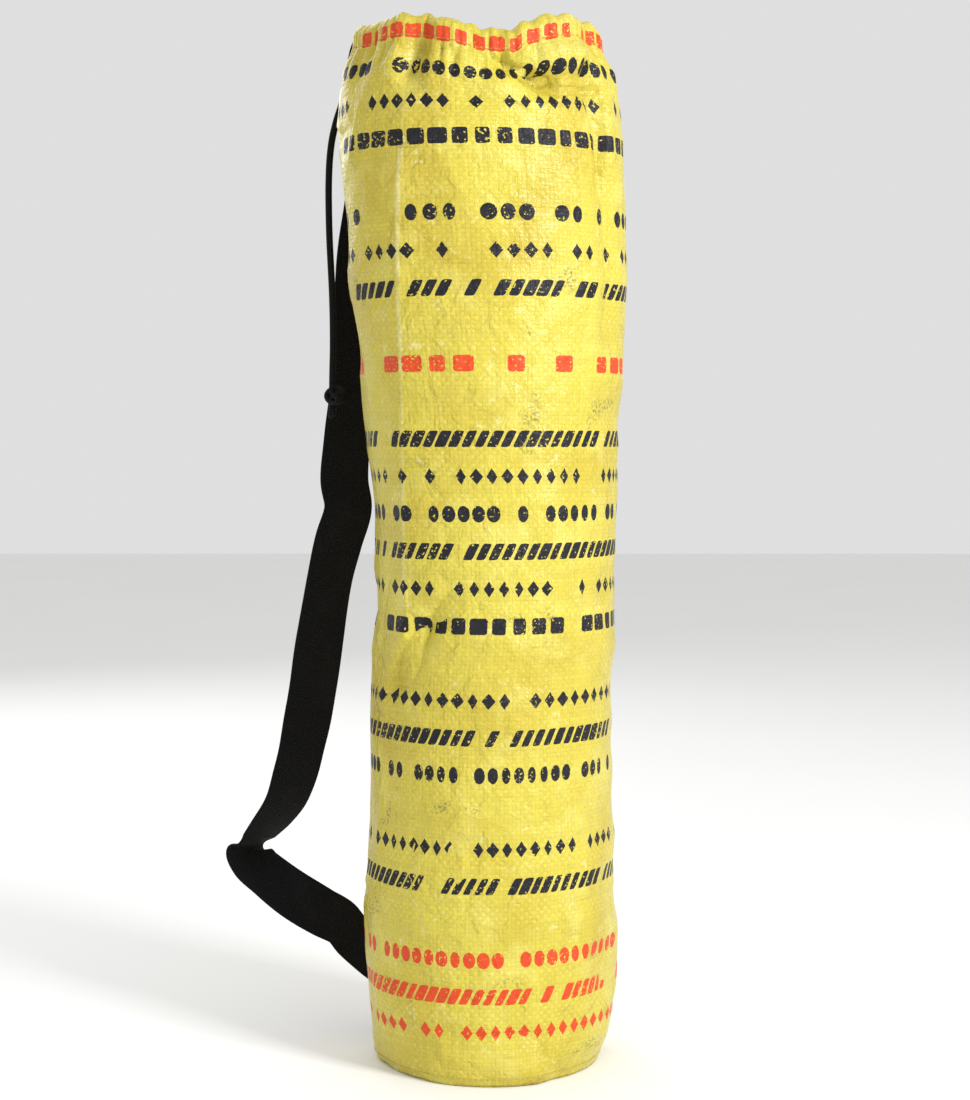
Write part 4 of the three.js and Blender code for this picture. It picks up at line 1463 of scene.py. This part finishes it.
def pressed_edge_wear_and_highlight(paint, u, v):
    """Wear and a painted highlight along the sack's old pressed edge, whose turn changes evenly with height.
    """
    foot = float(arc_of(EDGE_FOOT_TURN))
    slope = (float(arc_of(EDGE_TOP_TURN)) - foot) / ((EDGE_TOP - EDGE_FOOT) * BAG_HEIGHT)
    line = v * slope + (foot - slope * EDGE_FOOT * BAG_HEIGHT)
    beside = paint.step(*EDGE_WEAR_AND_HIGHLIGHT, abs(u - line))
    at = v / BAG_HEIGHT
    return (1 - beside) * paint.step(*EDGE_WEAR_AND_HIGHLIGHT_FOOT, at) * (1 - paint.step(*EDGE_WEAR_AND_HIGHLIGHT_TOP, at))


# Old marks on the cloth, at a place across and up it: half their length and width in metres, and the
# lean of their length in degrees.
MARK_COLUMNS = ("across", "up", "length", "width", "lean")
MARK_ROWS = [
    (0.0218, 0.460, 0.0085, 0.0006, -64),
    (-0.0328, 0.172, 0.0085, 0.0040, 20),
    (-0.0770, 0.166, 0.0070, 0.0030, 80),
    (-0.0120, 0.171, 0.0060, 0.0022, -15),
]


def old_marks(paint, u, v):
    """The cover of the old marks: each is full in the middle of its own oval and fades to its rim."""
    total = 0
    for mark in table(MARK_COLUMNS, MARK_ROWS):
        lean = math.radians(mark["lean"])
        x = u - mark["across"]
        y = v - mark["up"]
        along = (x * math.cos(lean) + y * math.sin(lean)) / mark["length"]
        beside = (y * math.cos(lean) - x * math.sin(lean)) / mark["width"]
        total = paint.math("SUBTRACT", 1, along * along + beside * beside, clamp=True) + total
    return total


def sacking_finish():
    """Woven plastic tapes with a satin shine, worn printed shapes on the outside, stains and scuffs."""
    paint = Finish("woven_sacking")
    u, v = paint.surface_place()
    cloth_place = paint.point(u, v)
    place = paint.object_place()
    height, shade, level = tape_weave(paint, u, v)
    upright_lines = paint.noise(paint.point(u * LINES_ACROSS, v * LINES_ALONG), 1)
    level_lines = paint.noise(paint.point(u * LINES_ALONG, v * LINES_ACROSS), 1)
    lines = paint.blend(level, upright_lines, level_lines)

    # Stains, pale clouds, scuffs, the worn edge with its painted highlight, and a tone for each tape with
    # painted sheen and shade
    clouds = paint.noise(place, *CLOUDS)
    stains = paint.step(*STAINS_SHOW, paint.noise(place, *STAINS))
    scuffs = paint.step(*SCUFFS_SHOW, paint.noise(place, *SCUFFS))
    colour = paint.mix(stains, YELLOW, YELLOW_DEEP)
    colour = paint.mix(paint.step(*CLOUDS_SHOW, clouds) * 0.5, colour, YELLOW_PALE)
    colour = paint.mix(scuffs * 0.5, colour, YELLOW_WORN_AND_HIGHLIT)
    # Painted highlight and wear: a paler line along the pressed edge's ridge
    edge = pressed_edge_wear_and_highlight(paint, u, v) * paint.step(0.3, 0.6, clouds)
    colour = paint.mix(edge * 0.55, colour, YELLOW_WORN_AND_HIGHLIT)
    # Painted sheen and shade: level tapes are lighter than upright ones, and each tape is darker at its
    # sides than at its crown
    tone_sheen_and_shade = shade.brought(*CHANCE_TONES) * level.brought(*LEVEL_SHEEN_TONES) * height.brought(*CROWN_SHADE_TONES)
    tones_sheen_and_shade = paint.point(tone_sheen_and_shade, tone_sheen_and_shade, tone_sheen_and_shade)
    colour = paint.add("ShaderNodeVectorMath", {0: colour, 1: tones_sheen_and_shade}, operation="MULTIPLY").outputs[0]

    # Print with ragged rims and flaked patches
    outside = Value(paint, paint.add("ShaderNodeAttribute", {}, attribute_name="outside").outputs["Fac"])
    ragged = (paint.noise(cloth_place, *RAGGED_RIMS) - 0.5) * INK_RAGGED
    cover, ink = worn_shapes(paint, u + ragged, v + ragged)
    flakes = paint.noise(cloth_place, *FLAKES)
    limit = paint.noise(cloth_place, *FLAKE_PATCHES).brought(*FLAKE_LIMITS)
    cover = cover * paint.step(*FLAKES_SHOW, flakes - limit) * outside

    # Grey smudges
    smudge = paint.step(*SMUDGES_SHOW, paint.noise(place, *SMUDGES)) * outside
    smudge = paint.math("ADD", smudge, old_marks(paint, u, v) * 1.6, clamp=True)
    smudge = smudge * paint.step(0.48, 0.6, flakes)
    colour = paint.mix(smudge * 0.65, colour, GREY_SMUDGE)

    # Crumples, then the weave, then the fine lines along each tape
    rough = lines * 0.12 + level * 0.05 + 0.22
    soft = paint.bump(paint.noise(place, *SOFT_CRUMPLES), SOFT_BUMP)
    crisp = paint.bump(paint.noise(place, *CRISP_CRUMPLES), CRISP_BUMP, 1, soft)
    woven = paint.bump(height, WEAVE_BUMP, 0.8, crisp)
    lined = paint.bump(lines, LINE_BUMP, 0.7, woven)
    paint.shader.inputs["Specular IOR Level"].default_value = 0.33
    return paint.finished(paint.mix(cover, colour, ink), paint.blend(cover, rough, 0.5), lined)


def dull_fibre(name):
    """A material with the weak shine and faint sheen of black fibres."""
    paint = Finish(name)
    paint.shader.inputs["Specular IOR Level"].default_value = 0.12
    paint.shader.inputs["Sheen Weight"].default_value = 0.03
    paint.shader.inputs["Sheen Roughness"].default_value = 0.5
    return paint


def webbing_finish():
    """Black webbing: short ribs across it that step from column to column, and a fuzzy sheen."""
    paint = dull_fibre("black_webbing")
    u, v = paint.surface_place()
    column = u / RIB_WIDTH
    shift = column.floor() % 2 * 0.5
    rib = ((v / RIB_PITCH + shift) * (2 * math.pi)).sine()
    height = (rib * 0.5 + 0.5) * (column.part() * math.pi).sine()
    fuzz = paint.noise(paint.object_place(), 1800, 3)
    wear = paint.step(0.5, 0.8, paint.noise(paint.object_place(), 45, 3))
    # Painted shade: the colour is darker in the valleys between the ribs and lighter on their tops
    colour = paint.mix(height, (0.0022, 0.0022, 0.0030, 1), (0.0070, 0.0070, 0.0085, 1))
    colour = paint.mix(wear * 0.4, colour, (0.011, 0.011, 0.013, 1))
    woven = paint.bump(height, RIB_BUMP, 0.9)
    return paint.finished(colour, fuzz.brought(0.66, 0.86), paint.bump(fuzz, YARN_BUMP, 0.5, woven))


def cord_finish():
    """Black braided cord: fine yarns that lie along the braid's diamonds, and a fuzzy sheen."""
    paint = dull_fibre("black_cord")
    u, v = paint.surface_place()
    right = ((u + v) * (2 * math.pi / YARN_WIDTH)).sine()
    left = ((u - v) * (2 * math.pi / YARN_WIDTH)).sine()
    yarns = paint.math("MAXIMUM", right, left)
    fuzz = paint.noise(paint.object_place(), 2200, 3)
    # Painted shade: the colour is darker between the yarns and lighter on their crowns
    colour = paint.mix(yarns * 0.4 + 0.5, (0.0030, 0.0030, 0.0040, 1), (0.0085, 0.0085, 0.0105, 1))
    fuzzy = paint.bump(fuzz, FUZZ_BUMP, 0.4)
    return paint.finished(colour, fuzz.brought(0.6, 0.8), paint.bump(yarns, YARN_BUMP, 0.7, fuzzy))


def thread_finish(name, dark, light):
    """Sewing thread: a fine twist of two shades."""
    paint = Finish(name)
    twist = paint.noise(paint.object_place(), 3200)
    colour = paint.mix(twist, dark, light)
    return paint.finished(colour, twist.brought(0.45, 0.65), paint.bump(twist, FUZZ_BUMP, 0.6))


for finish, pieces in (
    (sacking_finish(), [sack_wall, base_panel]),
    (webbing_finish(), [webbing_strap]),
    (cord_finish(), [tied_knot, cord_in_casing, *cord_tails]),
    (thread_finish("orange_thread", (0.42, 0.16, 0.03, 1), (0.62, 0.30, 0.08, 1)), [casing_stitches]),
    (thread_finish("yellow_thread", (0.34, 0.27, 0.05, 1), (0.56, 0.48, 0.13, 1)), [base_stitches]),
    (
        thread_finish("black_thread", (0.01, 0.01, 0.012, 1), (0.04, 0.04, 0.045, 1)),
        [strap_top_stitches, strap_foot_stitches],
    ),
):
    for piece in pieces:
        piece.data.materials.clear()
        piece.data.materials.append(finish)

# Stage
FLOOR_HALF = 6.0
FLOOR_DROP = 0.0004
WORLD_STRENGTH = 0.74
floor_finish = Finish("pale_floor")
floor_grain = floor_finish.noise(floor_finish.object_place(), 3)
floor_colour = floor_finish.mix(floor_grain, (0.86, 0.86, 0.85, 1), (0.89, 0.89, 0.885, 1))
floor_corners = np.array([(-1, -1, 0), (1, -1, 0), (1, 1, 0), (-1, 1, 0)]) * FLOOR_HALF
floor = new_piece("floor", floor_corners - (0, 0, FLOOR_DROP), [(0, 1, 2, 3)])
floor.data.materials.append(floor_finish.finished(floor_colour, 0.7))

world = bpy.data.worlds.new("studio")
world.use_nodes = True
world.node_tree.nodes["Background"].inputs[0].default_value = (1, 1, 1, 1)
world.node_tree.nodes["Background"].inputs[1].default_value = WORLD_STRENGTH
bpy.context.scene.world = world
bpy.context.scene.view_settings.view_transform = "Standard"

LIGHT_COLUMNS = ("name", "place", "aim", "size", "power")
LIGHT_ROWS = [
    ("key", (1.35, -1.25, 1.2), (0, 0, 0.36), 0.5, 38),
    ("fill", (-0.7, -1.7, 0.6), (0, 0, 0.3), 1.0, 5),
    ("rear", (-0.9, 1.5, 1.3), (0, 0, 0.4), 1.2, 12),
]
for light in table(LIGHT_COLUMNS, LIGHT_ROWS):
    lamp = bpy.data.lights.new(light["name"], "AREA")
    lamp.size = light["size"]
    lamp.energy = light["power"]
    lamp_object = bpy.data.objects.new(light["name"], lamp)
    aim = np.array(light["aim"]) - light["place"]
    lamp_object.location = light["place"]
    yaw = math.atan2(aim[1], aim[0]) - math.pi / 2
    pitch = math.atan2(math.hypot(aim[0], aim[1]), -aim[2])
    lamp_object.rotation_euler = (pitch, 0, yaw)
    bpy.context.scene.collection.objects.link(lamp_object)
